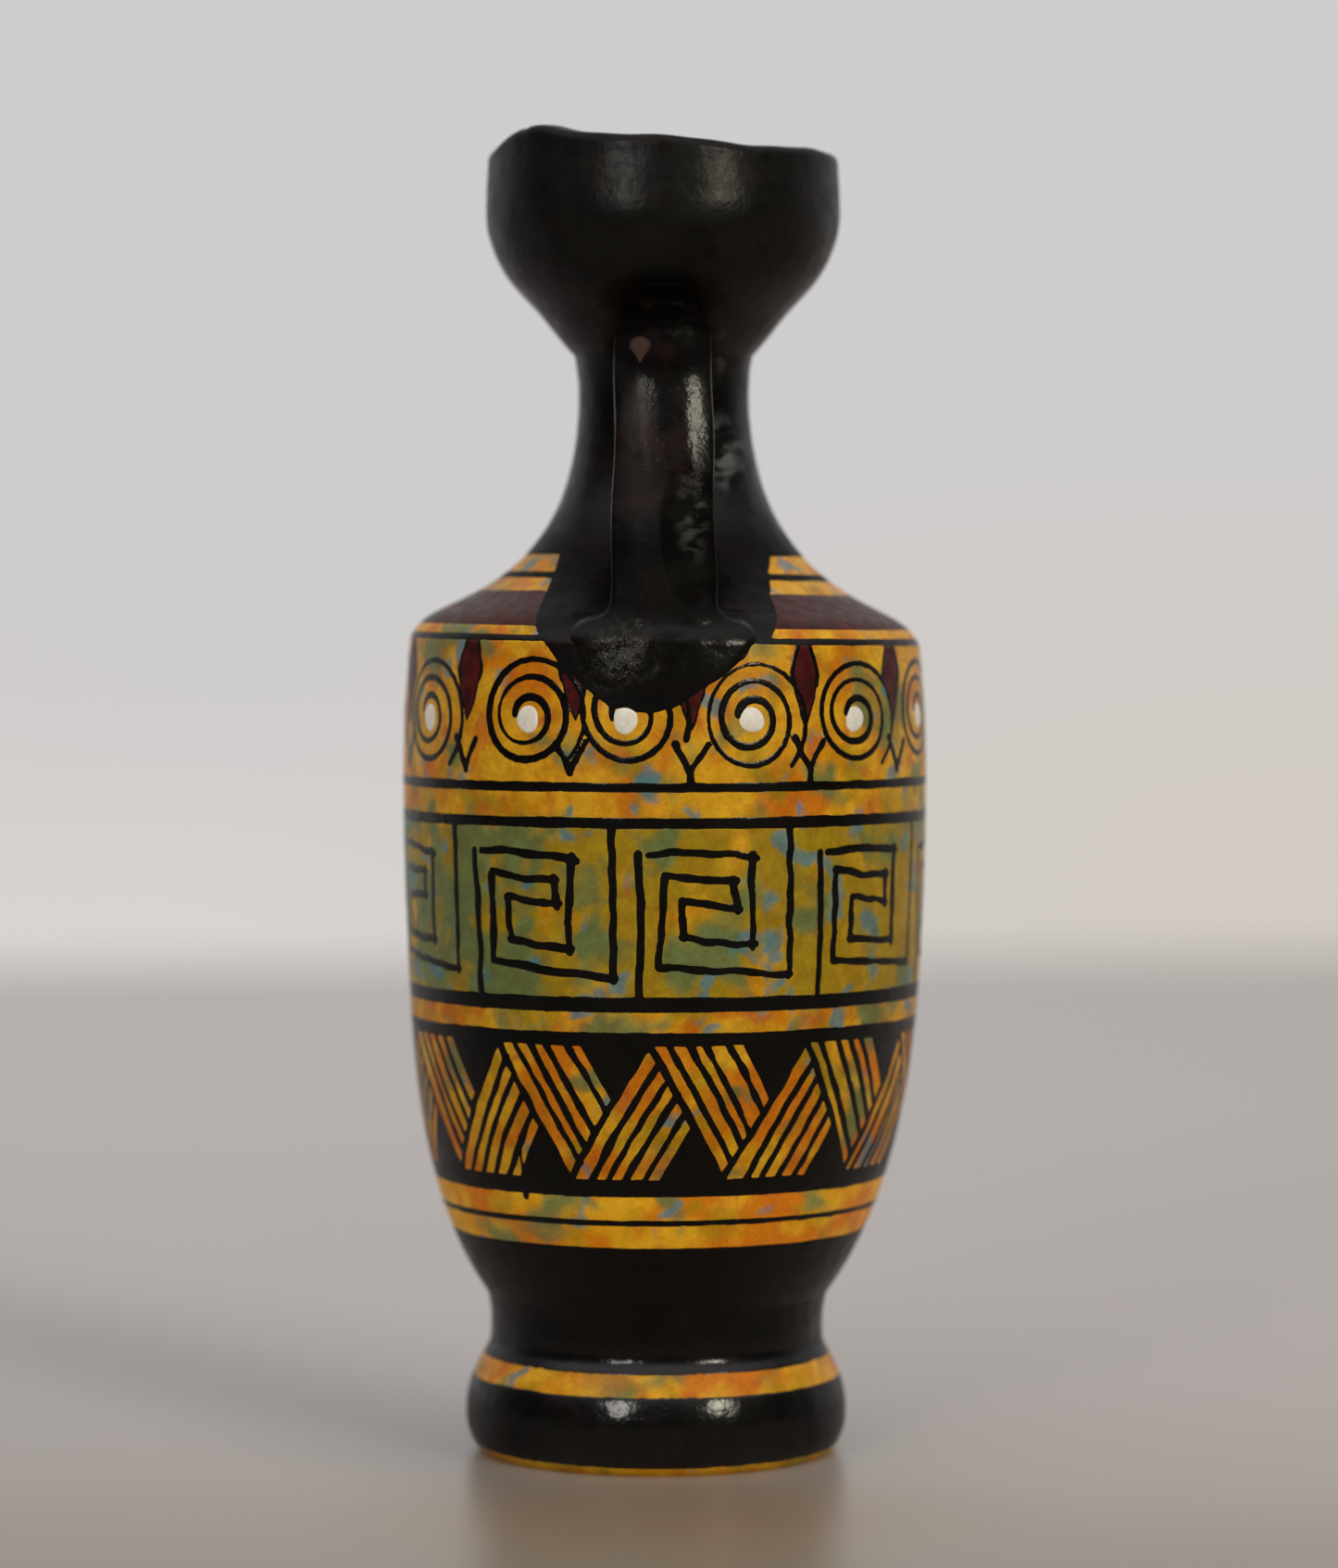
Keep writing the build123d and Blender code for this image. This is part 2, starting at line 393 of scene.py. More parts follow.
class Canvas:
    """A band of the pot's skin as a fine grid. Its field is the distance outside the painted area."""

    def __init__(self, low, high, step, seed):
        self.low, self.high = walk_at(low), walk_at(high)
        rows = int(math.ceil((self.high - self.low) / step)) + 1
        self.walk = np.linspace(self.low, self.high, rows)
        self.radius = float(radius_on(self.walk).mean())
        columns = int(round(TAU * self.radius / step))
        self.azimuth = -math.pi + np.arange(columns) * TAU / columns
        self.pitch = TAU * self.radius / columns
        self.across = self.azimuth * self.radius
        self.rng = np.random.default_rng(seed)
        self.field = np.full((rows, columns), 9.0)

    def spot(self, azimuth, height, x=0.0, y=0.0):
        """A point on the canvas: an azimuth in degrees and a height, then x mm to the right and y mm up."""
        return np.array([math.radians(azimuth) * self.radius + x, float(walk_at(height)) + y])

    def window(self, points, pad):
        """Rows, wrapped columns and the two coordinates of the grid round some points."""
        low, high = points.min(0) - pad, points.max(0) + pad
        first = int((low[0] - self.across[0]) // self.pitch)
        last = int((high[0] - self.across[0]) // self.pitch) + 1
        columns = np.arange(first, last + 1)
        rows = np.flatnonzero((self.walk >= low[1]) & (self.walk <= high[1]))
        x = self.across[0] + columns * self.pitch
        return rows, columns % len(self.azimuth), x[None, :], self.walk[rows][:, None]

    def merge(self, rows, columns, distance):
        cells = np.ix_(rows, columns)
        self.field[cells] = np.minimum(self.field[cells], distance)

    def stroke(self, points, width):
        """A brush stroke along points. Width is one number or one for each point, in mm."""
        points = np.asarray(points)
        half = np.broadcast_to(np.asarray(width, float) / 2, len(points))
        for k in range(len(points) - 1):
            pair = points[k : k + 2]
            rows, columns, x, y = self.window(pair, half[k] + 0.8)
            if len(rows) == 0:
                continue
            gap, share = off_segment(x, y, *pair)
            self.merge(rows, columns, gap - half[k] - share * (half[k + 1] - half[k]))

    def fill(self, points):
        """Paints the area inside an outline."""
        points = np.asarray(points)
        rows, columns, x, y = self.window(points, 1.0)
        nearest = np.full((len(rows), len(columns)), 9.0)
        inside = np.zeros((len(rows), len(columns)), bool)
        for p, q in zip(points, np.roll(points, -1, axis=0)):
            nearest = np.minimum(nearest, off_segment(x, y, p, q)[0])
            if p[1] != q[1]:
                edge = (q[0] - p[0]) * (y - p[1]) / (q[1] - p[1]) + p[0]
                inside ^= ((p[1] > y) != (q[1] > y)) & (x < edge)
        self.merge(rows, columns, np.where(inside, -nearest, nearest))

    def line(self, points, width, size=0.08):
        """One pen line through some points."""
        line = wander(self.rng, points, size)
        self.stroke(line, uneven(self.rng, len(line), width))

    def ripple(self, size):
        """A slow waver round the pot, in mm."""
        waver = np.zeros(len(self.azimuth))
        for k in range(1, 40):
            waver += self.rng.normal() / k**0.8 * np.sin(k * self.azimuth + self.rng.uniform(0, TAU))
        return size * waver / 1.6

    def ring(self, low, high, waver=0.05):
        """A line painted right round the pot between two heights."""
        bottom = float(walk_at(low)) + self.ripple(waver)
        top = float(walk_at(high)) + self.ripple(waver)
        y = self.walk[:, None]
        self.field = np.minimum(self.field, np.maximum(bottom[None, :] - y, y - top[None, :]))

    def rough_edge(self, coarse, fine):
        """Makes the painted edges waver as a brush's do."""
        rows, columns = self.field.shape
        height, width = self.high - self.low, TAU * self.radius
        self.field += coarse * lattice_noise(self.rng, rows, columns, height, width, 1.7)
        self.field += fine * lattice_noise(self.rng, rows, columns, height, width, 0.5)

    def layer(self, name, material, slot, proud=0.025, lip=0.15, crown=0.0, fade=None):
        """The painted area as a thin skin of paint with soft edges that sink into the pot."""
        points, faces, depth = contour(self.field)
        row, column = points[:, 0], points[:, 1]
        walk = np.interp(row, np.arange(len(self.walk)), self.walk)
        azimuth = self.azimuth[0] + column * TAU / len(self.azimuth)
        height = proud * ramp(depth, 0, lip) + crown * ramp(depth, 0, 1.2) - 0.012 * (depth <= 0.02)
        if fade is not None:
            height = height * fade(height_on(walk)) - 0.02 * (1 - fade(height_on(walk)))
        return make_piece(name, on_skin(azimuth, walk, height), faces, material)

    def black_layer(self, name, coarse=0.05, fine=0.03, fade=None):
        self.rough_edge(coarse, fine)
        self.layer(name, BLACK_GLAZE, "black_glaze", fade=fade)


def contour(field):
    """Faces covering where a field is negative, cut at its zero line; columns wrap. Returns points as (row,
    column), faces, and each point's depth inside the area."""
    rows, columns = field.shape
    inside = field < 0
    right, above = np.roll(field, -1, axis=1), np.roll(field, -1, axis=0)
    number = np.full((3, rows, columns), -1)
    points, depth = [], []

    def register(layer, mask, row_shift, column_shift, how_deep):
        r, c = np.nonzero(mask)
        number[layer, r, c] = sum(len(p) for p in points) + np.arange(len(r))
        points.append(np.column_stack([r + row_shift[r, c], c + column_shift[r, c]]))
        depth.append(how_deep[r, c])

    zero = np.zeros_like(field)
    register(0, inside, zero, zero, -field)
    share_right = field / np.where(field == right, 1, field - right)
    register(1, inside != (right < 0), zero, share_right, zero)
    share_above = field / np.where(field == above, 1, field - above)
    upward = inside != (above < 0)
    upward[-1] = False
    register(2, upward, share_above, zero, zero)
    points, depth = np.vstack(points), np.concatenate(depth)

    r, c = np.mgrid[0 : rows - 1, 0:columns]
    r, c = r.ravel(), c.ravel()
    d = (c + 1) % columns
    corner = [number[0, r, c], number[0, r, d], number[0, r + 1, d], number[0, r + 1, c]]
    edge = [number[1, r, c], number[2, r, d], number[1, r + 1, c], number[2, r, c]]
    case = sum((corner[k] >= 0).astype(int) << k for k in range(4))
    faces = []
    for kind in range(1, 16):
        cells = np.flatnonzero(case == kind)
        sequence = []
        for k in range(4):
            if kind >> k & 1:
                sequence.append(corner[k][cells])
            if (kind >> k & 1) != (kind >> (k + 1) % 4 & 1):
                sequence.append(edge[k][cells])
        faces += np.column_stack(sequence).tolist()
    return points, faces, depth


def wander(rng, points, size, step=0.5):
    """A hand-drawn line through some points: smooth, and straying a little to both sides."""
    line = bend_through(np.asarray(points, float), step)
    run = walked(line)
    along = np.gradient(line, axis=0)
    along /= np.maximum(np.linalg.norm(along, axis=1, keepdims=True), 1e-9)
    aside = np.column_stack([-along[:, 1], along[:, 0]])
    stray = 0
    for length in (12, 6.5, 3.4):
        stray = stray + rng.normal() * size * 0.6 * np.sin(TAU * run / length + rng.uniform(0, TAU))
    return line + aside * stray[:, None]


def uneven(rng, count, width, spread=0.09):
    """Stroke widths that swell and thin along a line."""
    x = np.linspace(0, 1, count)
    waver = sum(rng.normal() * np.sin(TAU * k * x + rng.uniform(0, TAU)) for k in (0.7, 1.6, 3.1))
    return width * (1 + spread * 0.6 * waver)


# The spirals' centres, in degrees, with gaps that differ.
SPIRAL_AZIMUTHS = [-61.5, -30.2, -8.2, 18.7, 45.4, 74.5, 102, 130.5, 158, -174, -145.5, -117.5, -89.5]
SPIRAL_CENTRE = 85.4
LEAF_AZIMUTHS = [-46.5, -19.5, 5.2, 32.0, 59.8, 88, 116, 144, 172, -160, -131.5, -103.5, -75.5]

# The black field round the handle's root, as azimuth in degrees and height.
ROOT_FIELD = [
    (-47, 104.5), (-47, 103), (-42.5, 101), (-38, 98.9), (-33, 96.6), (-30.5, 95), (-27, 93.3),
    (-23, 91.0), (-16.4, 88.1), (-12, 86.4), (-7.5, 85.9), (-3.2, 85.6), (2, 86.2), (6.5, 87.6),
    (11, 89.4), (15.4, 90.9), (17.6, 91.8), (19.4, 93.2), (24.5, 94.2), (29, 96.4), (34.2, 98.9),
    (42, 101.4), (49.5, 103.1), (50, 104.5),
]


def paint_root_field(canvas):
    canvas.fill([canvas.spot(a, h) for a, h in ROOT_FIELD])


def spiral(canvas, azimuth, turns=2.6, start=180):
    """A clockwise spiral, opening outwards from beside its dot."""
    rng = canvas.rng
    t = np.linspace(0, turns, int(turns * 26))
    reach = 1.55 + 2.12 * t + 0.18 * np.sin(TAU * t + rng.uniform(0, TAU)) * np.minimum(t, 1)
    reach += 0.12 * np.sin(2 * TAU * t + rng.uniform(0, TAU)) * np.minimum(t, 1)
    reach -= 0.7 * bump(t, 2, 0.22)
    angle = np.radians(start + rng.uniform(-15, 15)) - TAU * t
    centre = canvas.spot(azimuth, SPIRAL_CENTRE, rng.uniform(-0.2, 0.2), rng.uniform(-0.15, 0.15))
    line = centre + np.column_stack([reach * np.cos(angle), reach * np.sin(angle)])
    canvas.stroke(line, uneven(rng, len(line), 0.78, 0.16))


def leaf_sides(canvas, azimuth, rng):
    """The two sides of a pointed leaf hanging from the line above the spirals, each from top to tip."""
    top, tip = walk_at(SPIRAL_ZONE[1]) + 0.3, walk_at(84.4 + rng.uniform(-0.6, 0.6))
    middle = math.radians(azimuth) * canvas.radius
    down = np.linspace(0, 1, 9)
    width = np.interp(down, (0, 0.36, 0.66, 0.9, 1), (0.8, 1.95, 1.3, 0.45, 0)) * rng.uniform(0.8, 1.1)
    y = top + (tip - top) * down
    sway = rng.uniform(-0.4, 0.4) * down
    left = np.column_stack([middle - width + sway, y])
    right = np.column_stack([middle + width + sway, y])
    return left, right


def leaf(canvas, azimuth, seed):
    """The leaf's black outline."""
    for side in leaf_sides(canvas, azimuth, np.random.default_rng(seed)):
        canvas.line(side[:5], 0.66, 0.05)
        canvas.line(side[4:], 0.36, 0.05)


def vee(canvas, azimuth):
    """The small V between two spirals, standing on the line below them."""
    rng = canvas.rng
    foot = canvas.spot(azimuth, SPIRAL_ZONE[0], rng.uniform(-0.3, 0.3), 1.1 + rng.uniform(-0.3, 0.3))
    left = foot + np.array([-1.7 + rng.uniform(-0.3, 0.2), 3.4 + rng.uniform(-0.4, 0.4)])
    right = foot + np.array([1.8 + rng.uniform(-0.2, 0.3), 3.3 + rng.uniform(-0.4, 0.4)])
    canvas.line([left, (left + foot) / 2 + (0.1, 0), foot], 0.86, 0.07)
    canvas.line([right, (right + foot) / 2 - (0.1, 0), foot], 0.78, 0.07)
    canvas.stroke([left, left + (0.12, -0.2)], 1.05)
    if rng.uniform() < 0.6:
        canvas.line([foot, foot - (0, 1.2)], 0.85, 0.02)


def spiral_band():
    canvas = Canvas(76.4, 94.6, 0.17, 11)
    canvas.ring(77.0, SPIRAL_ZONE[0])
    canvas.ring(SPIRAL_ZONE[1], 94.1)
    for azimuth in SPIRAL_AZIMUTHS:
        spiral(canvas, azimuth)
    for number, azimuth in enumerate(LEAF_AZIMUTHS):
        leaf(canvas, azimuth, 100 + number)
        vee(canvas, azimuth + canvas.rng.uniform(-0.8, 0.8))
    paint_root_field(canvas)
    canvas.black_layer("paint_spirals")


def shoulder_paint():
    canvas = Canvas(94.0, 109.0, 0.2, 12)
    canvas.ring(93.4, 94.12)
    canvas.ring(100.4, 101.2)
    canvas.ring(NECK_PAINT_END, 120)
    paint_root_field(canvas)
    canvas.black_layer("paint_shoulder", fade=lambda height: 1 - ramp(height, 104.5, 108.5))


def oxblood_paint():
    """The dark red leaves, and the dark red band on the shoulder."""
    canvas = Canvas(83.0, 99.4, 0.2, 13)
    for number, azimuth in enumerate(LEAF_AZIMUTHS):
        left, right = leaf_sides(canvas, azimuth, np.random.default_rng(100 + number))
        canvas.fill(np.vstack([left, right[::-1]]))
    canvas.field[canvas.walk > walk_at(93.6)] = 9.0
    canvas.ring(95.05, 98.95)
    canvas.rough_edge(0.04, 0.03)
    canvas.layer("paint_oxblood", OXBLOOD, "oxblood_paint", proud=0.012)


def dots():
    """The thick white dot in each spiral."""
    canvas = Canvas(82.5, 87.5, 0.12, 14)
    rng = canvas.rng
    for azimuth in SPIRAL_AZIMUTHS:
        centre = canvas.spot(azimuth, 84.9, rng.uniform(-0.2, 0.2), rng.uniform(-0.2, 0.2))
        round_ = np.linspace(0, TAU, 28, endpoint=False)
        reach = 1.45 + 0.07 * np.sin(2 * round_ + rng.uniform(0, TAU))
        reach += 0.05 * np.sin(3 * round_ + rng.uniform(0, TAU))
        canvas.fill(centre + np.column_stack([reach * np.cos(round_), reach * np.sin(round_)]))
    canvas.layer("paint_dots", WHITE_PAINT, "white_paint", proud=0.07, lip=0.3, crown=0.08)


# One key of the meander as pen lines, in shares of its width and height, each bent a little by the hand.
MEANDER_KEY = [
    [(0.0, -0.02), (0.0, 0.42), (-0.02, 0.86)],
    [(0.04, 0.86), (0.38, 0.86), (0.74, 0.82)],
    [(0.71, 0.84), (0.70, 0.57), (0.71, 0.28)],
    [(0.72, 0.30), (0.50, 0.31), (0.25, 0.34)],
    [(0.26, 0.33), (0.26, 0.45), (0.265, 0.56)],
    [(0.27, 0.56), (0.45, 0.55), (0.62, 0.545)],
    [(0.605, 0.53), (0.60, 0.62), (0.60, 0.70)],
    [(0.62, 0.69), (0.38, 0.70), (0.13, 0.73)],
    [(0.125, 0.71), (0.13, 0.45), (0.12, 0.20)],
    [(0.13, 0.20), (0.55, 0.16), (0.99, 0.12)],
    [(0.98, 0.11), (0.985, 0.55), (0.98, 1.02)],
]
KEY_STARTS = [-43.5, -4.9, 35.5, 75.5, 115.4, 155.5, -164.5, -124.3, -83.8]
KEY_ARC = 33.2


def meander_band():
    canvas = Canvas(51.8, 75.2, 0.18, 15)
    canvas.ring(MEANDER_ZONE[1], 74.3)
    canvas.ring(52.7, MEANDER_ZONE[0])
    rng = canvas.rng
    low, high = walk_at(MEANDER_ZONE[0]), walk_at(MEANDER_ZONE[1])
    width = math.radians(KEY_ARC) * canvas.radius
    for azimuth in KEY_STARTS:
        shift = rng.normal(0, 0.012, (len(MEANDER_KEY) + 1, 2))
        for number, line in enumerate(MEANDER_KEY):
            line = np.array(line)
            ends = np.array([shift[number], shift[number : number + 2].mean(0), shift[number + 1]])
            line[:, 0] = math.radians(azimuth) * canvas.radius + (line[:, 0] + ends[:, 0]) * width
            line[:, 1] = low + (line[:, 1] + ends[:, 1]) * (high - low)
            canvas.line(line, 0.96 + rng.uniform(-0.1, 0.1), 0.09)
    canvas.black_layer("paint_meander")


APEXES = [-39.2, -3.2, 33.0, 67.5, 103.5, 140, 176, -148, -111.5, -75.5]
STROKE_GAP = 2.1
HATCH_STROKES = 4


def zigzag_band():
    """Two sets of slanting strokes that meet in a zigzag, with black triangles in its corners."""
    canvas = Canvas(31.0, 51.6, 0.17, 16)
    canvas.ring(ZIGZAG_ZONE[1], 50.6)
    canvas.ring(32.0, ZIGZAG_ZONE[0])
    rng = canvas.rng
    top, bottom = float(walk_at(ZIGZAG_ZONE[1])), float(walk_at(ZIGZAG_ZONE[0]))
    order = sorted(APEXES)
    for number, azimuth in enumerate(order):
        ahead = order[(number + 1) % len(order)] + (360 if number == len(order) - 1 else 0)
        apex, after = math.radians(azimuth) * canvas.radius, math.radians(ahead) * canvas.radius
        valley = (apex + after) / 2 + rng.uniform(-0.4, 0.4)
        fall = np.array([[apex, top + 0.3], [valley, bottom - 0.2]])
        rise = np.array([[valley, bottom - 0.2], [after, top + 0.3]])
        canvas.line([fall[0], fall.mean(0), fall[1]], 0.95, 0.05)
        canvas.line([rise[0], rise.mean(0), rise[1]], 0.95, 0.05)
        hatch(canvas, fall, rise, rng, np.array([1, 1]))
        valley_before = apex - (valley - apex)
        upside_down = np.array([1, -1])
        left_side = np.array([[valley_before, bottom - 0.2], [apex, top + 0.3]])
        hatch(canvas, left_side * upside_down, fall * upside_down, rng, upside_down)
    drip = [canvas.spot(-34.8, 38.4), canvas.spot(-35.1, 35.2, 0.1), canvas.spot(-34.9, 31.7)]
    canvas.stroke(drip, [0.5, 0.42, 0.95])
    canvas.black_layer("paint_zigzag")


def hatch(canvas, first, second, rng, mirror):
    """Strokes beside the first side of a triangle, from its open edge to the second side; the corner left over
    is filled in. The sides come already mirrored, and what is drawn is mirrored back."""
    side, face = first[1] - first[0], second[1] - second[0]
    level, last = first[0, 1], second[1, 0]

    def meet(start):
        share = np.linalg.solve(np.column_stack([side, -face]), second[0] - start)
        return start + side * share[0]

    for k in range(1, HATCH_STROKES + 1):
        start = np.array([first[0, 0] + k * STROKE_GAP + rng.normal(0, 0.12), level])
        end = meet(start) + rng.normal(0, 0.1, 2)
        bow = (start + end) / 2 + rng.normal(0, 0.12, 2)
        canvas.line(np.array([start, bow, end]) * mirror, 0.86 + rng.normal(0, 0.05), 0.04)
    start = np.array([first[0, 0] + (HATCH_STROKES + 0.75) * STROKE_GAP, level])
    canvas.fill(np.array([[last, level], start, meet(start)]) * mirror)


# The bands that are only black, from the foot up: name, canvas heights, grid step, seed, painted heights, and
# the coarse and the fine roughness of the edge.
PLAIN_BANDS = [
    ("paint_torus", (0.3, TORUS_PAINT[1] + 1), 0.22, 19, TORUS_PAINT, (0.05, 0.04)),
    ("paint_lower_body", (LOWER_PAINT[0] - 1.2, LOWER_PAINT[1] + 1.2), 0.24, 18, LOWER_PAINT, (0.05, 0.03)),
    ("paint_thin_line", (27.6, 30.4), 0.2, 17, THIN_LINE, (0.04, 0.03)),
]


def plain_band(name, reach, step, seed, painted, edge):
    canvas = Canvas(*reach, step, seed)
    canvas.ring(*painted, 0.06)
    canvas.black_layer(name, *edge)


# ---------------------------------------------------------------- handle


def closed_patch(top, under):
    """The points and faces of a closed shape between two grids of points of the same size."""
    rows, columns = top.shape[:2]
    grid = np.arange(rows * columns).reshape(rows, columns)
    a, b, c, d = grid[:-1, :-1].ravel(), grid[:-1, 1:].ravel(), grid[1:, 1:].ravel(), grid[1:, :-1].ravel()
    below = rows * columns
    faces = np.column_stack([a, b, c, d]).tolist() + (np.column_stack([d, c, b, a]) + below).tolist()
    rim = np.concatenate([grid[0, :-1], grid[:-1, -1], grid[-1, :0:-1], grid[:0:-1, 0]])
    faces += [(q, p, p + below, q + below) for p, q in zip(rim, np.roll(rim, -1))]
    return np.vstack([top.reshape(-1, 3), under.reshape(-1, 3)]), faces


def strap_face(heights):
    """How far the strap's outer face stands from the axis at some heights, in mm."""
    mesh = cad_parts["handle"].data
    mesh.calc_loop_triangles()
    tree = BVHTree.FromPolygons([v.co for v in mesh.vertices], [t.vertices[:] for t in mesh.loop_triangles])
    hits = [tree.ray_cast(Vector((2e-4, -0.06, h * MM)), Vector((0, 1, 0)))[0] for h in heights]
    return [-hit.y / MM for hit in hits]


# The clay drawn out from the strap's foot, in mm.
STRAP_HALF, BEND_HALF = 6.1, 8.4  # half widths of the strap and of the bend at its edge
RIDGE_HEIGHT, BEND_RISE = 96.2, 3.0  # the ridge along the top, and how far it climbs at the bend
TONGUE_THICK = 0.65
TONGUE_HEIGHTS = (85.5, 87, 89, 91, 93, 95, 97)
TONGUE_HALF_WIDTHS = (3.0, 6.0, 8.8, 10.8, 12.4, 13.4, 14.0)
ROOT_LOW, ROOT_HIGH, ROOT_HALF_ANGLE = 84.6, 101.5, 33  # the patch that the clay is modelled on; degrees


def root_clay():
    """The strap's foot: it runs on down over the shoulder's edge as a thumbed tongue, and its sides are drawn
    out along the shoulder in a soft ridge."""
    rows, columns = 76, 150
    height = np.linspace(ROOT_LOW, ROOT_HIGH, rows)[:, None]
    azimuth = np.radians(np.linspace(-ROOT_HALF_ANGLE, ROOT_HALF_ANGLE, columns))[None, :]
    height, azimuth = np.broadcast_arrays(height, azimuth)
    wall = radius_at(height)
    upper, lower = strap_face((100.0, 96.5))
    run_on = lower + (lower - upper) / 3.5 * (96.5 - height)
    tongue = radius_at(np.minimum(height, 93)) + TONGUE_THICK * ramp(height, 86.0, 90.5)
    blend = 0.8
    middle = -blend * np.log(np.exp(-run_on / blend) + np.exp(-tongue / blend)) - 0.5 * ramp(height, 96.5, 99)
    middle += 0.35 * ramp(height, 90, 94)
    side = middle * np.sin(azimuth) + 1.3 * (1 - ramp(height, 88, 94))
    aside = np.abs(side)
    bend = np.clip((BEND_HALF - aside) / (BEND_HALF - STRAP_HALF), 0, 1)
    ridge = RIDGE_HEIGHT + BEND_RISE * (1 - np.sqrt(1 - bend**2)) + 20 * ramp(bend, 0.97, 1.0)
    ridge -= 0.22 * np.maximum(aside - BEND_HALF, 0)
    soften = 0.7 + 0.6 * np.maximum(aside - BEND_HALF, 0)
    reach = np.interp(height, TONGUE_HEIGHTS, TONGUE_HALF_WIDTHS)
    spread = np.clip(1 - (aside / reach) ** 2, 0, 1) ** 1.2
    coat = TONGUE_THICK * ramp(height, 86.0, 90.0) * (1 - 0.45 * ramp(height, 93.5, 96))
    blend = 0.3
    above = blend * np.logaddexp((middle - wall) / blend, coat / blend) - blend * math.log(2)
    thick = above * spread * ramp(ridge - height, -0.2, soften)
    rng = np.random.default_rng(1)
    patch = (16.9, math.radians(2 * ROOT_HALF_ANGLE) * 29)  # mm high and wide
    rough = bump(side, -4.5, 4.2) * bump(height, 92, 3.6)
    rough = rough + 0.5 * bump(side, 6.8, 2.2) * bump(height, 92.8, 1.6)
    lumps = (0.10 + 0.30 * rough) * lattice_noise(rng, rows, columns, *patch, 2.2)
    lumps += (0.03 + 0.22 * rough) * lattice_noise(rng, rows, columns, *patch, 0.95)
    thick = thick + lumps * ramp(thick, 0.1, 0.7) - 0.8 * (1 - ramp(thick, 0.0, 0.2))
    top = place(azimuth, wall + thick, height)
    under = place(azimuth, wall - 1.9, height)
    return closed_patch(top, under)


def cup_clay():
    """The strap's upper end smeared up the underside of the cup, ending in a small roll."""
    rows, columns = 70, 80
    height, azimuth = np.broadcast_arrays(
        np.linspace(129.4, 134.4, rows)[:, None], np.radians(np.linspace(-24, 24, columns))[None, :]
    )
    aside = np.abs(radius_at(height) * np.sin(azimuth))
    smear = 0.35 * (1 - ramp(aside, 2.0, 5.6)) * (1 - ramp(height, 131.5, 133.6))
    smear = smear + 0.7 * (1 - ramp(aside, 2.5, 6.2)) * (1 - ramp(height, 130.0, 132.4))
    roll = 0.5 * bump(height, 133.1 + 0.05 * aside, 0.4) * (1 - ramp(aside, 1.4, 3.4))
    thick = smear + roll - 0.2
    wall = radius_at(height)
    return closed_patch(place(azimuth, wall + thick, height), place(azimuth, wall - 1, height))


def joined_clay():
    """The strap and its two smeared ends as one closed shape, in mm."""
    shape = bmesh.new()
    shape.from_mesh(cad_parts["handle"].data)
    bmesh.ops.remove_doubles(shape, verts=shape.verts, dist=1e-6)
    bmesh.ops.scale(shape, vec=(1 / MM,) * 3, verts=shape.verts)
    for clay in (root_clay(), cup_clay()):
        add_faces(shape, *clay)
    mesh = bpy.data.meshes.new("handle_skin")
    shape.to_mesh(mesh)
    shape.free()
    piece = new_object("handle_skin", mesh)
    remesh = piece.modifiers.new("join", "REMESH")
    remesh.mode, remesh.voxel_size = "VOXEL", 0.24
    keep_modified(piece)
    return piece


def keep_modified(piece):
    """Turns what an object's modifiers make into its own mesh."""
    piece.data = bpy.data.meshes.new_from_object(piece.evaluated_get(bpy.context.evaluated_depsgraph_get()))
    piece.modifiers.clear()


def soften_clay(piece):
    """Smooths the whole strap a little, and the places where it meets the shoulder and the cup much more."""

    def foot(x, z):
        return ramp(z + 2.0 * ramp(x, 0, 3), 92.0, 94.4) * (1 - ramp(z, 98.5, 101))

    def head(x, z):
        return ramp(z, 127.5, 129.5) * (1 - ramp(z, 132.6, 133.0))

    spots = [(v.co.x, v.co.z) for v in piece.data.vertices]
    for name, rounds, share in (("strap", 4, lambda x, z: 1.0), ("foot", 30, foot), ("head", 40, head)):
        group = piece.vertex_groups.new(name=name)
        for number, spot in enumerate(spots):
            group.add([number], float(share(*spot)), "REPLACE")
        soften = piece.modifiers.new(name, "SMOOTH")
        soften.factor, soften.iterations, soften.vertex_group = 0.5, rounds, name
    keep_modified(piece)
    piece.vertex_groups.clear()


def thumb_clay(mesh):
    """The hand's marks on the strap: a crease, a flattened belly, drag lines and a narrowed, swaying width."""
    points = vertices_of(mesh)
    x, y, z = points.T
    front = ramp(-y, 20, 23)
    crease = 0.10 * bump(x, 0.3 + 0.15 * np.sin(z), 0.5) * ramp(z, 94.5, 97) * (1 - ramp(z, 100.5, 103))
    belly = -(0.5 * (1 - ramp(z, 104.5, 114.5)) + 0.28 * (1 - ramp(z, 96.5, 101))) * ramp(z, 92.5, 96.5)
    drag = 0.02 * np.sin(1.7 * x + 0.25 * z) * np.sin(0.8 * x + 1.1 + 0.5 * np.sin(z / 3))
    drag = drag + 0.02 * np.sin(z / 1.9 + x / 2)
    points[:, 1] = y + front * (crease + belly + drag * ramp(z, 96, 99))
    points[:, 0] = x * (1 - 0.2 * ramp(z, 127.8, 131)) + 0.12 * np.sin(z / 2.6 + 1.0) * ramp(z, 97, 100)
    mesh.vertices.foreach_set("co", points.ravel() * MM)


def handle_skin():
    piece = joined_clay()
    soften_clay(piece)
    thumb_clay(piece.data)
    piece.data.materials.append(BLACK_GLAZE)
    piece.data.shade_smooth()
    piece.data.update()
    fit_piece(piece, ("handle", "handle_upper_lute", "handle_lower_lute"))


# ---------------------------------------------------------------- materials


def rgb(text):
    """A linear colour from an sRGB hex string."""
    channels = [int(text[i : i + 2], 16) / 255 for i in (1, 3, 5)]
    return [c / 12.92 if c <= 0.04045 else ((c + 0.055) / 1.055) ** 2.4 for c in channels] + [1.0]


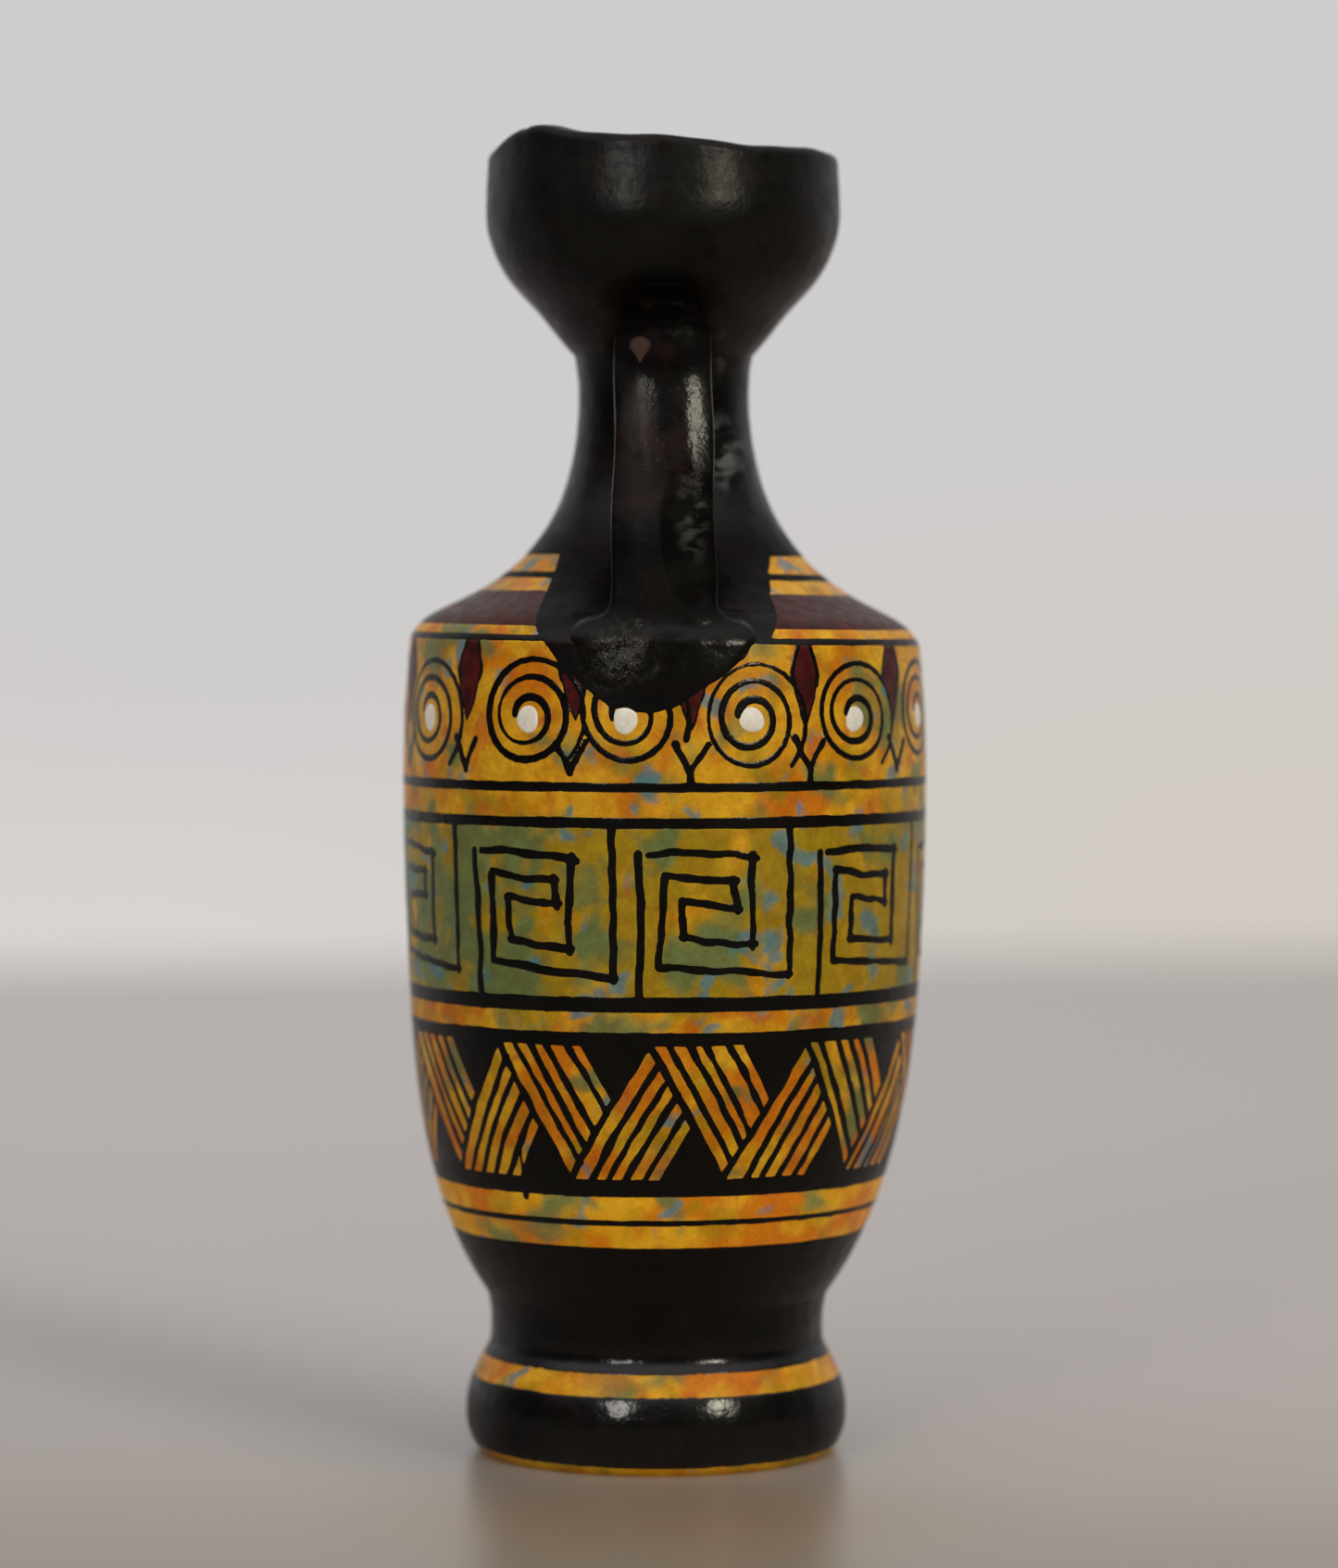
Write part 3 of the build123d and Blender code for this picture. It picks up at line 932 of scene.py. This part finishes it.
# The wash's colours.
GOLD, AMBER, ORANGE, SALMON = "#f8c02a", "#eca414", "#e47e12", "#dc7434"
OLIVE, TEAL, BLUE = "#aa941c", "#6c8a58", "#5596a8"


class Value:
    """A number inside a node tree, which can be added, subtracted and multiplied."""

    def __init__(self, graph, socket):
        self.graph, self.socket = graph, socket

    def __add__(self, other):
        return self.graph.sum("ADD", self, other)

    def __radd__(self, other):
        return self.graph.sum("ADD", other, self)

    def __sub__(self, other):
        return self.graph.sum("SUBTRACT", self, other)

    def __rsub__(self, other):
        return self.graph.sum("SUBTRACT", other, self)

    def __mul__(self, other):
        return self.graph.sum("MULTIPLY", self, other)


class Graph:
    """A node tree under construction."""

    def __init__(self, tree):
        self.nodes, self.links = tree.nodes, tree.links

    def feed(self, socket, value):
        if isinstance(value, Value):
            value = value.socket
        if isinstance(value, bpy.types.NodeSocket):
            self.links.new(value, socket)
        else:
            socket.default_value = value

    def sum(self, operation, first, second=0.5, third=None):
        node = self.nodes.new("ShaderNodeMath")
        node.operation = operation
        self.feed(node.inputs[0], first)
        self.feed(node.inputs[1], second)
        if third is not None:
            self.feed(node.inputs[2], third)
        return Value(self, node.outputs[0])

    def between(self, value, low, high, out_low=0.0, out_high=1.0):
        """A smooth step of a value from low to high."""
        node = self.nodes.new("ShaderNodeMapRange")
        node.interpolation_type = "SMOOTHSTEP"
        self.feed(node.inputs["Value"], value)
        for name, end in zip(("From Min", "From Max", "To Min", "To Max"), (low, high, out_low, out_high)):
            self.feed(node.inputs[name], end)
        return Value(self, node.outputs["Result"])

    def split(self, vector):
        """The three coordinates of a vector."""
        node = self.nodes.new("ShaderNodeSeparateXYZ")
        self.feed(node.inputs[0], vector)
        return [Value(self, socket) for socket in node.outputs]


class Recipe(Graph):
    """A node material under construction, with short calls for what the glazes and paints share."""

    def __init__(self, name):
        self.material = bpy.data.materials.new(name)
        self.material.use_nodes = True
        super().__init__(self.material.node_tree)
        self.shader = next(n for n in self.nodes if n.type == "BSDF_PRINCIPLED")
        metres = self.nodes.new("ShaderNodeTexCoord").outputs["Object"]
        self.millimetres = self.vector("SCALE", metres, scale=1000)

    def vector(self, operation, first, second=None, scale=None):
        node = self.nodes.new("ShaderNodeVectorMath")
        node.operation = operation
        self.feed(node.inputs[0], first)
        if second is not None:
            self.feed(node.inputs[1], second)
        if scale is not None:
            self.feed(node.inputs["Scale"], scale)
        return node.outputs[0]

    def noise(self, size, detail=2.0, rough=0.5, shift=0.0, stretch=(1, 1, 1), source=None, warp=0.0):
        """Noise whose features are about size mm across."""
        place_ = source or self.millimetres
        place_ = self.vector("MULTIPLY", place_, tuple(1 / s for s in stretch))
        place_ = self.vector("ADD", place_, (shift * 37.1, shift * -19.7, shift * 53.3))
        node = self.nodes.new("ShaderNodeTexNoise")
        self.feed(node.inputs["Vector"], place_)
        node.inputs["Scale"].default_value = 1 / size
        node.inputs["Detail"].default_value = detail
        node.inputs["Roughness"].default_value = rough
        node.inputs["Distortion"].default_value = warp
        return Value(self, node.outputs["Fac"])

    def mix(self, share, first, second, blend="MIX"):
        node = self.nodes.new("ShaderNodeMix")
        node.data_type, node.blend_type = "RGBA", blend
        self.feed(node.inputs[0], share)
        self.feed(node.inputs[6], first)
        self.feed(node.inputs[7], second)
        return node.outputs[2]

    def axes(self):
        """The height, the distance to the right and the distance away from the handle's side, in mm."""
        right, away, height = self.split(self.millimetres)
        return height, right, away

    def near(self, centre, reach, full=0.3, none=1.0):
        """1 near a point, fading to 0 at an ellipsoid of the given half sizes in mm round it."""
        away = self.vector("SUBTRACT", self.millimetres, centre)
        away = self.vector("MULTIPLY", away, tuple(1 / r for r in reach))
        node = self.nodes.new("ShaderNodeVectorMath")
        node.operation = "LENGTH"
        self.feed(node.inputs[0], away)
        return self.between(node.outputs["Value"], none, full)

    def relief(self, *layers):
        """Bump from (height socket, depth in mm) pairs."""
        normal = None
        for value, depth in layers:
            node = self.nodes.new("ShaderNodeBump")
            node.inputs["Strength"].default_value = 1.0
            node.inputs["Distance"].default_value = depth * MM
            self.feed(node.inputs["Height"], value)
            if normal is not None:
                self.feed(node.inputs["Normal"], normal)
            normal = node.outputs["Normal"]
        return normal

    def ground(self, share, first, second):
        """Starts the colour as a mix of two."""
        self.colour = self.mix(share, rgb(first), rgb(second))

    def tint(self, share, text):
        self.colour = self.mix(share, self.colour, rgb(text))

    def stain(self, share, grain, text):
        """Multiplies the colour by another one where the grain is low."""
        self.colour = self.mix(share, self.colour, self.mix(grain, rgb(text), rgb("#ffffff")), "MULTIPLY")

    def finish(self, rough, normal=None, coat=0.0, coat_rough=0.1, specular=0.5):
        self.feed(self.shader.inputs["Base Color"], self.colour)
        self.feed(self.shader.inputs["Roughness"], rough)
        self.feed(self.shader.inputs["Specular IOR Level"], specular)
        self.feed(self.shader.inputs["Coat Weight"], coat)
        self.feed(self.shader.inputs["Coat Roughness"], coat_rough)
        if normal is not None:
            self.feed(self.shader.inputs["Normal"], normal)
            self.feed(self.shader.inputs["Coat Normal"], normal)
        return self.material


def black_recipe():
    """Black slip under varnish: brownish and reddish thin places, scuffs, brush drag and a pebbly skin, with
    painted sheen on the strap and on the thumbed clay at its foot.
    """
    m = Recipe("black_glaze")
    height, side = m.axes()[:2]
    patchy = m.between(height, 80, 126, 0.25, 1.0)
    m.ground(m.between(m.noise(7, 3, 0.6, 1), 0.45, 0.75), "#080706", "#0e0c09")
    red = m.between(m.noise(5.5, 3, 0.6, 2), 0.52, 0.72, 0, 0.7) * patchy
    m.tint(red, "#251412")
    green = m.between(m.noise(6.5, 3, 0.6, 3), 0.52, 0.74, 0, 0.7) * patchy
    m.tint(green, "#191b15")
    dust = m.between(m.noise(4.2, 5, 0.7, 4, warp=0.6), 0.58, 0.78, 0, 0.26)
    m.tint(dust * patchy, "#4a4c49")
    m.tint(m.between(m.noise(0.35, 2, 0.5, 5), 0.74, 0.8, 0, 0.45), "#4a443a")
    neck_scuff = m.near((6.6, -8.0, 114.8), (4.6, 6.0, 5.6))
    streaks = m.between(m.noise(2.3, 3, 0.6, 11, stretch=(1.5, 1.5, 0.8), warp=0.3), 0.47, 0.66)
    m.tint(neck_scuff * streaks * 0.75, "#76807f")
    smear = m.near((6.7, -10.0, 125.6), (1.3, 5.0, 3.6))
    m.tint(smear * streaks * 0.45, "#6b6668")
    m.tint(teardrop(m, side, height) * 0.5, "#5d453f")
    # Greyish patches on the strap's lower right: dust, and partly a painted highlight where the right lamp's
    # glint trails down.
    dust_and_sheen = m.near((3.2, -24.5, 108.0), (2.6, 6.0, 8.0))
    m.tint(dust_and_sheen * streaks * 0.4, "#5c5d59")
    # The strap's rubbed left side: its coat is thinner, and the mauve tint there is a painted dull sheen of
    # the left lamp.
    rub_and_sheen = m.near((-3.0, -24.5, 116.0), (3.0, 5.0, 11.0), 0.6)
    m.tint(rub_and_sheen * 0.22, "#453733")
    # The thumbed clay at the strap's foot is lightened to a warm grey in a pitted pattern: partly dusty clay,
    # partly a painted sheen.
    thumbed = m.near((-4.6, -29.0, 92.2), (5.4, 5.0, 5.2), 0.25, 1.1)
    pits_and_sheen = m.between(m.noise(0.8, 3, 0.6, 12), 0.42, 0.68)
    m.tint(thumbed * pits_and_sheen * 0.55, "#3f3c34")
    rough = m.between(m.noise(2.4, 4, 0.6, 6), 0.3, 0.7, 0.36, 0.52)
    cup = m.between(height, 131, 137)
    m.tint(cup * m.between(m.noise(5.0, 3, 0.6, 16), 0.35, 0.65, 0.2, 0.8), "#191816")
    coat = 0.27 - rub_and_sheen * 0.25
    coat = coat * (1.0 - cup * 0.3)
    under_cup = m.near((0, -19.0, 128.5), (9.0, 10.0, 8.0), 0.65)
    low_strap = m.near((3.0, -24.0, 104.5), (4.4, 10.0, 11.0), 0.72)
    under_cup = m.sum("MAXIMUM", under_cup, low_strap)
    shoulder = m.between(height, 94.4, 97, 0.0, 0.8) * m.between(height, 110, 103)
    low = m.between(height, 16, 13)
    waist = low * m.between(m.sum("ABSOLUTE", side), 11, 18, 0, 0.6)
    matt = 1.0 - m.sum("MAXIMUM", under_cup, m.sum("MAXIMUM", shoulder, waist)) * 0.88
    coat = m.sum("MULTIPLY_ADD", low, 0.35, coat) * matt
    coat_rough = m.between(m.noise(1.6, 3, 0.6, 13), 0.3, 0.7, 0.1, 0.18)
    coat_rough = coat_rough + cup * 0.14
    dull = m.near((-3.3, -23.5, 119.0), (3.2, 4.5, 5.5), 0.1)
    specular = matt * (0.07 + dull * 0.18)
    normal = m.relief(
        (m.noise(3.4, 2, 0.5, 9), 0.14),
        (m.noise(1.1, 3, 0.5, 8, stretch=(3, 3, 0.6)), 0.016),
        (m.noise(0.45, 2, 0.55, 7), 0.028),
        (thumbed * m.noise(0.7, 3, 0.6, 14), 0.16),
    )
    return m.finish(rough, normal, coat=coat, coat_rough=coat_rough, specular=specular)


def teardrop(m, side, height):
    """The mauve patch near the strap's top: rounded above and pointed below."""
    across = m.sum("ABSOLUTE", side + 2.6)
    up = height - 126.3
    crown = m.sum("SQRT", m.sum("MAXIMUM", 1.1 - up * up, 0.0), 0.0)
    half = m.sum("MINIMUM", m.sum("MULTIPLY_ADD", up, 0.62, 1.2), crown * 1.15)
    half = m.sum("MAXIMUM", half, m.between(up, 0.2, -0.2) * m.sum("MULTIPLY_ADD", up, 0.62, 1.2))
    shape = m.sum("DIVIDE", across, m.sum("MAXIMUM", half, 0.001))
    shape = shape + m.noise(0.9, 3, 0.6, 15) * 0.5
    here = m.near((-2.6, -21.5, 126.2), (3.5, 5.0, 4.0), 0.8, 1.0)
    return here * m.between(shape, 1.45, 0.95)


def wash_recipe():
    """The sponged wash: golden ochre run through with orange, salmon, olive and blue-green, varnished."""
    m = Recipe("colour_wash")
    height, side = m.axes()[:2]
    meander = m.between(height, MEANDER_ZONE[0] - 2.5, MEANDER_ZONE[0] + 0.5)
    meander = meander * m.between(height, MEANDER_ZONE[1] + 2, MEANDER_ZONE[1] - 1)
    zigzag = m.between(height, ZIGZAG_ZONE[1] + 2, ZIGZAG_ZONE[1] - 1)
    low = m.between(height, 18, 14)
    stripes = m.between(height, 35, 33) * m.between(height, 22, 25)
    left = m.between(side, -6, -24)
    m.ground(m.between(m.noise(5.5, 2, 0.5, 1, warp=0.4), 0.42, 0.7), GOLD, AMBER)
    orange = m.noise(7.5, 2, 0.5, 2, warp=0.3) + zigzag * 0.11
    orange = orange - (meander + low) * 0.08
    orange = orange - stripes * 0.05
    m.tint(m.between(orange, 0.5, 0.66, 0, 0.85), ORANGE)
    olive = m.noise(6.0, 2, 0.5, 3, warp=0.4) + meander * 0.25
    olive = olive + (low - stripes) * 0.06
    m.tint(m.between(olive, 0.5, 0.74, 0, 0.85), OLIVE)
    salmon = m.noise(4.2, 3, 0.55, 4, warp=0.6) - meander * 0.04
    salmon = salmon - (zigzag + low) * 0.05
    m.tint(m.between(salmon, 0.57, 0.7, 0, 0.75), SALMON)
    teal = m.noise(7.0, 2, 0.5, 5, warp=0.3) + meander * 0.015
    teal = teal + left * meander * 0.1
    teal = teal - zigzag * 0.03
    m.tint(m.between(teal, 0.52, 0.67, 0, 0.85), TEAL)
    blue = m.noise(4.6, 2, 0.5, 6, warp=0.3) + meander * 0.02
    blue = blue - zigzag * 0.04
    m.tint(m.between(blue, 0.6, 0.7, 0, 0.75), BLUE)
    blot = m.between(m.noise(2.0, 4, 0.65, 7), 0.3, 0.72)
    blotted = 0.36 - stripes * 0.22
    m.stain(blotted, blot, "#a8753c")
    m.colour = m.mix(stripes * 0.3, m.colour, m.colour, "ADD")
    grain = m.between(m.noise(0.45, 3, 0.6, 8), 0.3, 0.7)
    m.stain(0.22, grain, "#a8845a")
    m.tint(m.between(m.noise(0.3, 2, 0.5, 9), 0.74, 0.8, 0, 0.55), "#3a2412")
    rough = m.between(m.noise(2.0, 3, 0.6, 10), 0.3, 0.7, 0.36, 0.5)
    normal = m.relief((m.noise(3.0, 2, 0.5, 11), 0.06), (m.noise(0.6, 2, 0.5, 12), 0.018))
    return m.finish(rough, normal, coat=0.08, coat_rough=0.18, specular=0.12)


def oxblood_recipe():
    m = Recipe("oxblood_paint")
    height = m.axes()[0]
    m.ground(m.between(m.noise(2.2, 3, 0.6, 1), 0.35, 0.7), "#360a0a", "#5c1512")
    m.tint(m.between(m.noise(0.6, 3, 0.6, 2), 0.5, 0.75, 0, 0.5), "#2a0c0c")
    m.tint(m.between(height, 94, 95.5, 0, 0.5), "#3a2623")
    normal = m.relief((m.noise(1.2, 3, 0.5, 3), 0.03), (m.noise(0.4, 2, 0.5, 4), 0.015))
    return m.finish(m.between(m.noise(1.5, 2, 0.5, 5), 0.3, 0.7, 0.36, 0.5), normal, 0.06, 0.25, 0.12)


def white_recipe():
    m = Recipe("white_paint")
    m.ground(m.between(m.noise(0.7, 3, 0.6, 1), 0.35, 0.7), "#fdfbf0", "#f0ecda")
    normal = m.relief((m.noise(0.5, 3, 0.5, 2), 0.03))
    return m.finish(m.between(m.noise(0.9, 2, 0.5, 3), 0.3, 0.7, 0.5, 0.7), normal, 0.2, 0.35)


def slip_recipe():
    m = Recipe("luting_slip")
    m.ground(m.noise(1.4, 4, 0.6, 1), "#9a5a38", "#b9744c")
    return m.finish(m.between(m.noise(0.8, 2), 0.3, 0.7, 0.75, 0.92), m.relief((m.noise(0.5, 3), 0.05)))


def floor_recipe():
    """Pale semi-matt sheet with painted light and shade: lighter far back, darker towards the camera, and
    painted shadows of the pot.
    """
    m = Recipe("floor")
    side, away = m.axes()[1:]
    m.ground(m.between(m.noise(160, 2, 0.5, 1), 0.3, 0.7), "#b5aeab", "#bbb4b0")
    # Painted light: the sheet grows lighter towards the back.
    m.tint(m.between(away, 80, 420), "#c1bbb8")
    m.tint(m.between(side, -100, 250, 0, 0.4), "#afa595")
    # Painted shade: the sheet grows darker towards the camera, most of all at its front edge.
    m.tint(m.between(away, 60, -140), "#8f836f")
    m.tint(m.between(away, -15, -75, 0, 0.22), "#766c58")
    # Painted shadow of the pot just in front of its foot, with a warm painted reflection of its wash.
    m.tint(m.near((0, -42, 0), (50, 38, 20), 0.1) * 0.6, "#8d7351")
    shade = m.between(side, -15, -100) * m.between(away, 170, 0)
    m.tint(shade * 0.35, "#8f877f")
    # Painted shadow of the pot: a soft band running back and to the left from the foot, as the right lamp
    # casts it.
    across = m.sum("MULTIPLY_ADD", side, 0.818, m.sum("MULTIPLY_ADD", away, 0.575, 17.6))
    painted_shadow = m.between(m.sum("ABSOLUTE", across), 32, 0) * m.between(side, -6, -22)
    painted_shadow = painted_shadow * m.between(side, -110, -30, 0.24, 0.36)
    m.tint(painted_shadow, "#625b56")
    grain = m.noise(0.8, 3, 0.6, 2)
    m.stain(0.1, grain, "#8e8786")
    return m.finish(0.3, m.relief((grain, 0.01)), specular=0.5)


def backdrop_recipe():
    """A pale wall; it glows by itself, since its own lights stand outside the scene. Its glow carries painted
    light: a little brighter towards the bottom, brighter still low on the left, and warmer low on the right.
    """
    m = Recipe("backdrop")
    height, side = m.axes()[:2]
    # Painted light: the wall grows a little brighter towards the bottom.
    m.ground(m.between(height, 200, -200), "#cdcbca", "#d4cfcb")
    m.tint(m.noise(400, 1, 0.5, 1), "#cfcdce")
    right = m.between(side, -250, 300)
    left = 1.0 - right
    # Painted light: lighter low on the left, warmer low on the right.
    m.tint(left * m.between(height, 60, -80), "#d8d4d1")
    m.tint(right * m.between(height, 200, -20, 0, 0.85), "#d1cac2")
    m.feed(m.shader.inputs["Emission Color"], m.colour)
    m.shader.inputs["Emission Strength"].default_value = 1.0
    m.colour = rgb("#000000")
    return m.finish(0.9, specular=0.0)


BLACK_GLAZE = black_recipe()
WASH = wash_recipe()
OXBLOOD = oxblood_recipe()
WHITE_PAINT = white_recipe()
SLIP = slip_recipe()


# ---------------------------------------------------------------- build


BLACK_FROM = 106.5  # mm: the neck's own clay is black from here up


def black_above_wash(centre):
    return int(centre[2] > BLACK_FROM)


thrown_skin("foot", 256, WASH)
thrown_skin("body", 288, WASH)
thrown_skin("shoulder_neck", 256, [WASH, BLACK_GLAZE], black_above_wash)
thrown_skin("mouth", 256, BLACK_GLAZE)
handle_skin()
for band in PLAIN_BANDS:
    plain_band(*band)
zigzag_band()
meander_band()
spiral_band()
shoulder_paint()
oxblood_paint()
dots()
for node in ("foot_slip_ring", "shoulder_slip_ring", "mouth_slip_ring"):
    ring_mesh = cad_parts[node].data
    ring_mesh.materials.clear()
    ring_mesh.materials.append(SLIP)


# ---------------------------------------------------------------- stage, lights and camera


def sheet(name, corners, material):
    """A flat sheet that belongs to the studio and not to the pot."""
    mesh = bpy.data.meshes.new(name)
    mesh.from_pydata([Vector(c) for c in corners], [], [(0, 1, 2, 3)])
    mesh.materials.append(material)
    panel = new_object(name, mesh)
    return panel


TABLE_EDGE = 0.785  # metres behind the pot
EDGE_SLANT = 0.45  # metres, the far edge being nearer on the left
far_left, far_right = (-3, TABLE_EDGE - EDGE_SLANT, 0), (3, TABLE_EDGE + EDGE_SLANT, 0)
table = sheet("table", [(-3, -2, 0), (3, -2, 0), far_right, far_left], floor_recipe())
sheet("backdrop", [(-4, 1.9, -1.5), (4, 1.9, -1.5), (4, 1.9, 3), (-4, 1.9, 3)], backdrop_recipe())


def surround():
    """The room: bright behind the pot and overhead on the camera's side, dim at eye level on that side."""
    world = bpy.data.worlds.new("studio")
    world.use_nodes = True
    room = Graph(world.node_tree)
    away, up = room.split(room.nodes.new("ShaderNodeTexCoord").outputs["Generated"])[1:]
    overhead = room.between(up, 0.3, 0.75, 0.0, ROOM_TOP)
    strength = room.sum(
        "MULTIPLY_ADD",
        overhead,
        room.between(away, -0.25, 0.35, 1.0, 0.25),
        room.between(away, -0.1, 0.6, ROOM_FRONT, ROOM_BACK),
    )
    room.feed(room.nodes["Background"].inputs["Strength"], strength)
    room.feed(room.nodes["Background"].inputs["Color"], rgb("#eae6e6"))
    return world


ROOM_FRONT, ROOM_BACK, ROOM_TOP = 0.02, 0.5, 1.3
bpy.context.scene.world = surround()


# Both lamps: degrees above the pot's middle, then metres.
LAMP_ELEVATION, LAMP_DISTANCE, LAMP_SIZE = 20, 1.6, 0.34
LAMPS = [("left", -24, 4.2, (1.0, 0.96, 0.90)), ("right", 39, 6.6, (1.0, 0.92, 0.74))]


def soft_lamp(name, azimuth, power, colour):
    """A round soft lamp aimed at the middle of the pot; azimuth is from the camera's side, towards +X."""
    target = Vector((0, 0, RIM_TOP * MM / 2))
    a, e = math.radians(azimuth), math.radians(LAMP_ELEVATION)
    way = Vector((math.sin(a) * math.cos(e), -math.cos(a) * math.cos(e), math.sin(e)))
    light = bpy.data.lights.new(name, "AREA")
    light.shape, light.size, light.energy, light.color = "DISK", LAMP_SIZE, power, colour
    lamp = new_object(name, light)
    lamp.location = target + way * LAMP_DISTANCE
    lamp.rotation_euler = way.to_track_quat("Z", "Y").to_euler()
    return lamp


def aimed_at(lamp, name, state):
    """Limits a lamp to the table, or keeps the table out of it."""
    group = bpy.data.collections.new(name)
    group.objects.link(table)
    group.collection_objects[0].light_linking.link_state = state
    lamp.light_linking.receiver_collection = group


# Each lamp has a twin for the table only, which leaves no glare on it when the pot is seen from behind.
for name, azimuth, power, colour in LAMPS:
    aimed_at(soft_lamp("lamp_" + name, azimuth, power, colour), "not_table_" + name, "EXCLUDE")
    twin = soft_lamp("table_lamp_" + name, azimuth, power, colour)
    twin.visible_glossy = False
    aimed_at(twin, "table_" + name, "INCLUDE")

EYE_DISTANCE, EYE_HEIGHT = 0.590, 0.0989  # metres
EYE_DIP, EYE_TURN = 2.14, -0.062  # degrees: the view's dip, and its turn about the vertical
FOCUS_SHARE = 0.0475  # of the way from the pot's axis to the camera
camera_data = bpy.data.cameras.new("camera")
camera_data.sensor_width = 36
camera_data.lens = 117.5
camera_data.clip_start, camera_data.clip_end = 0.05, 20
camera_data.dof.use_dof = True
camera_data.dof.aperture_fstop = 8.4
camera = new_object("camera", camera_data)
camera.location = (0, -EYE_DISTANCE, EYE_HEIGHT)
camera.rotation_euler = (math.radians(90 - EYE_DIP), 0, math.radians(EYE_TURN))
bpy.context.scene.camera = camera

# The focus stays on the near side of the pot, wherever the camera stands.
focus = new_object("focus", None)
focus.location = (0, 0, EYE_HEIGHT)
pull = focus.constraints.new("COPY_LOCATION")
pull.target, pull.influence = camera, FOCUS_SHARE
camera_data.dof.focus_object = focus
bpy.context.scene.view_settings.view_transform = "Standard"
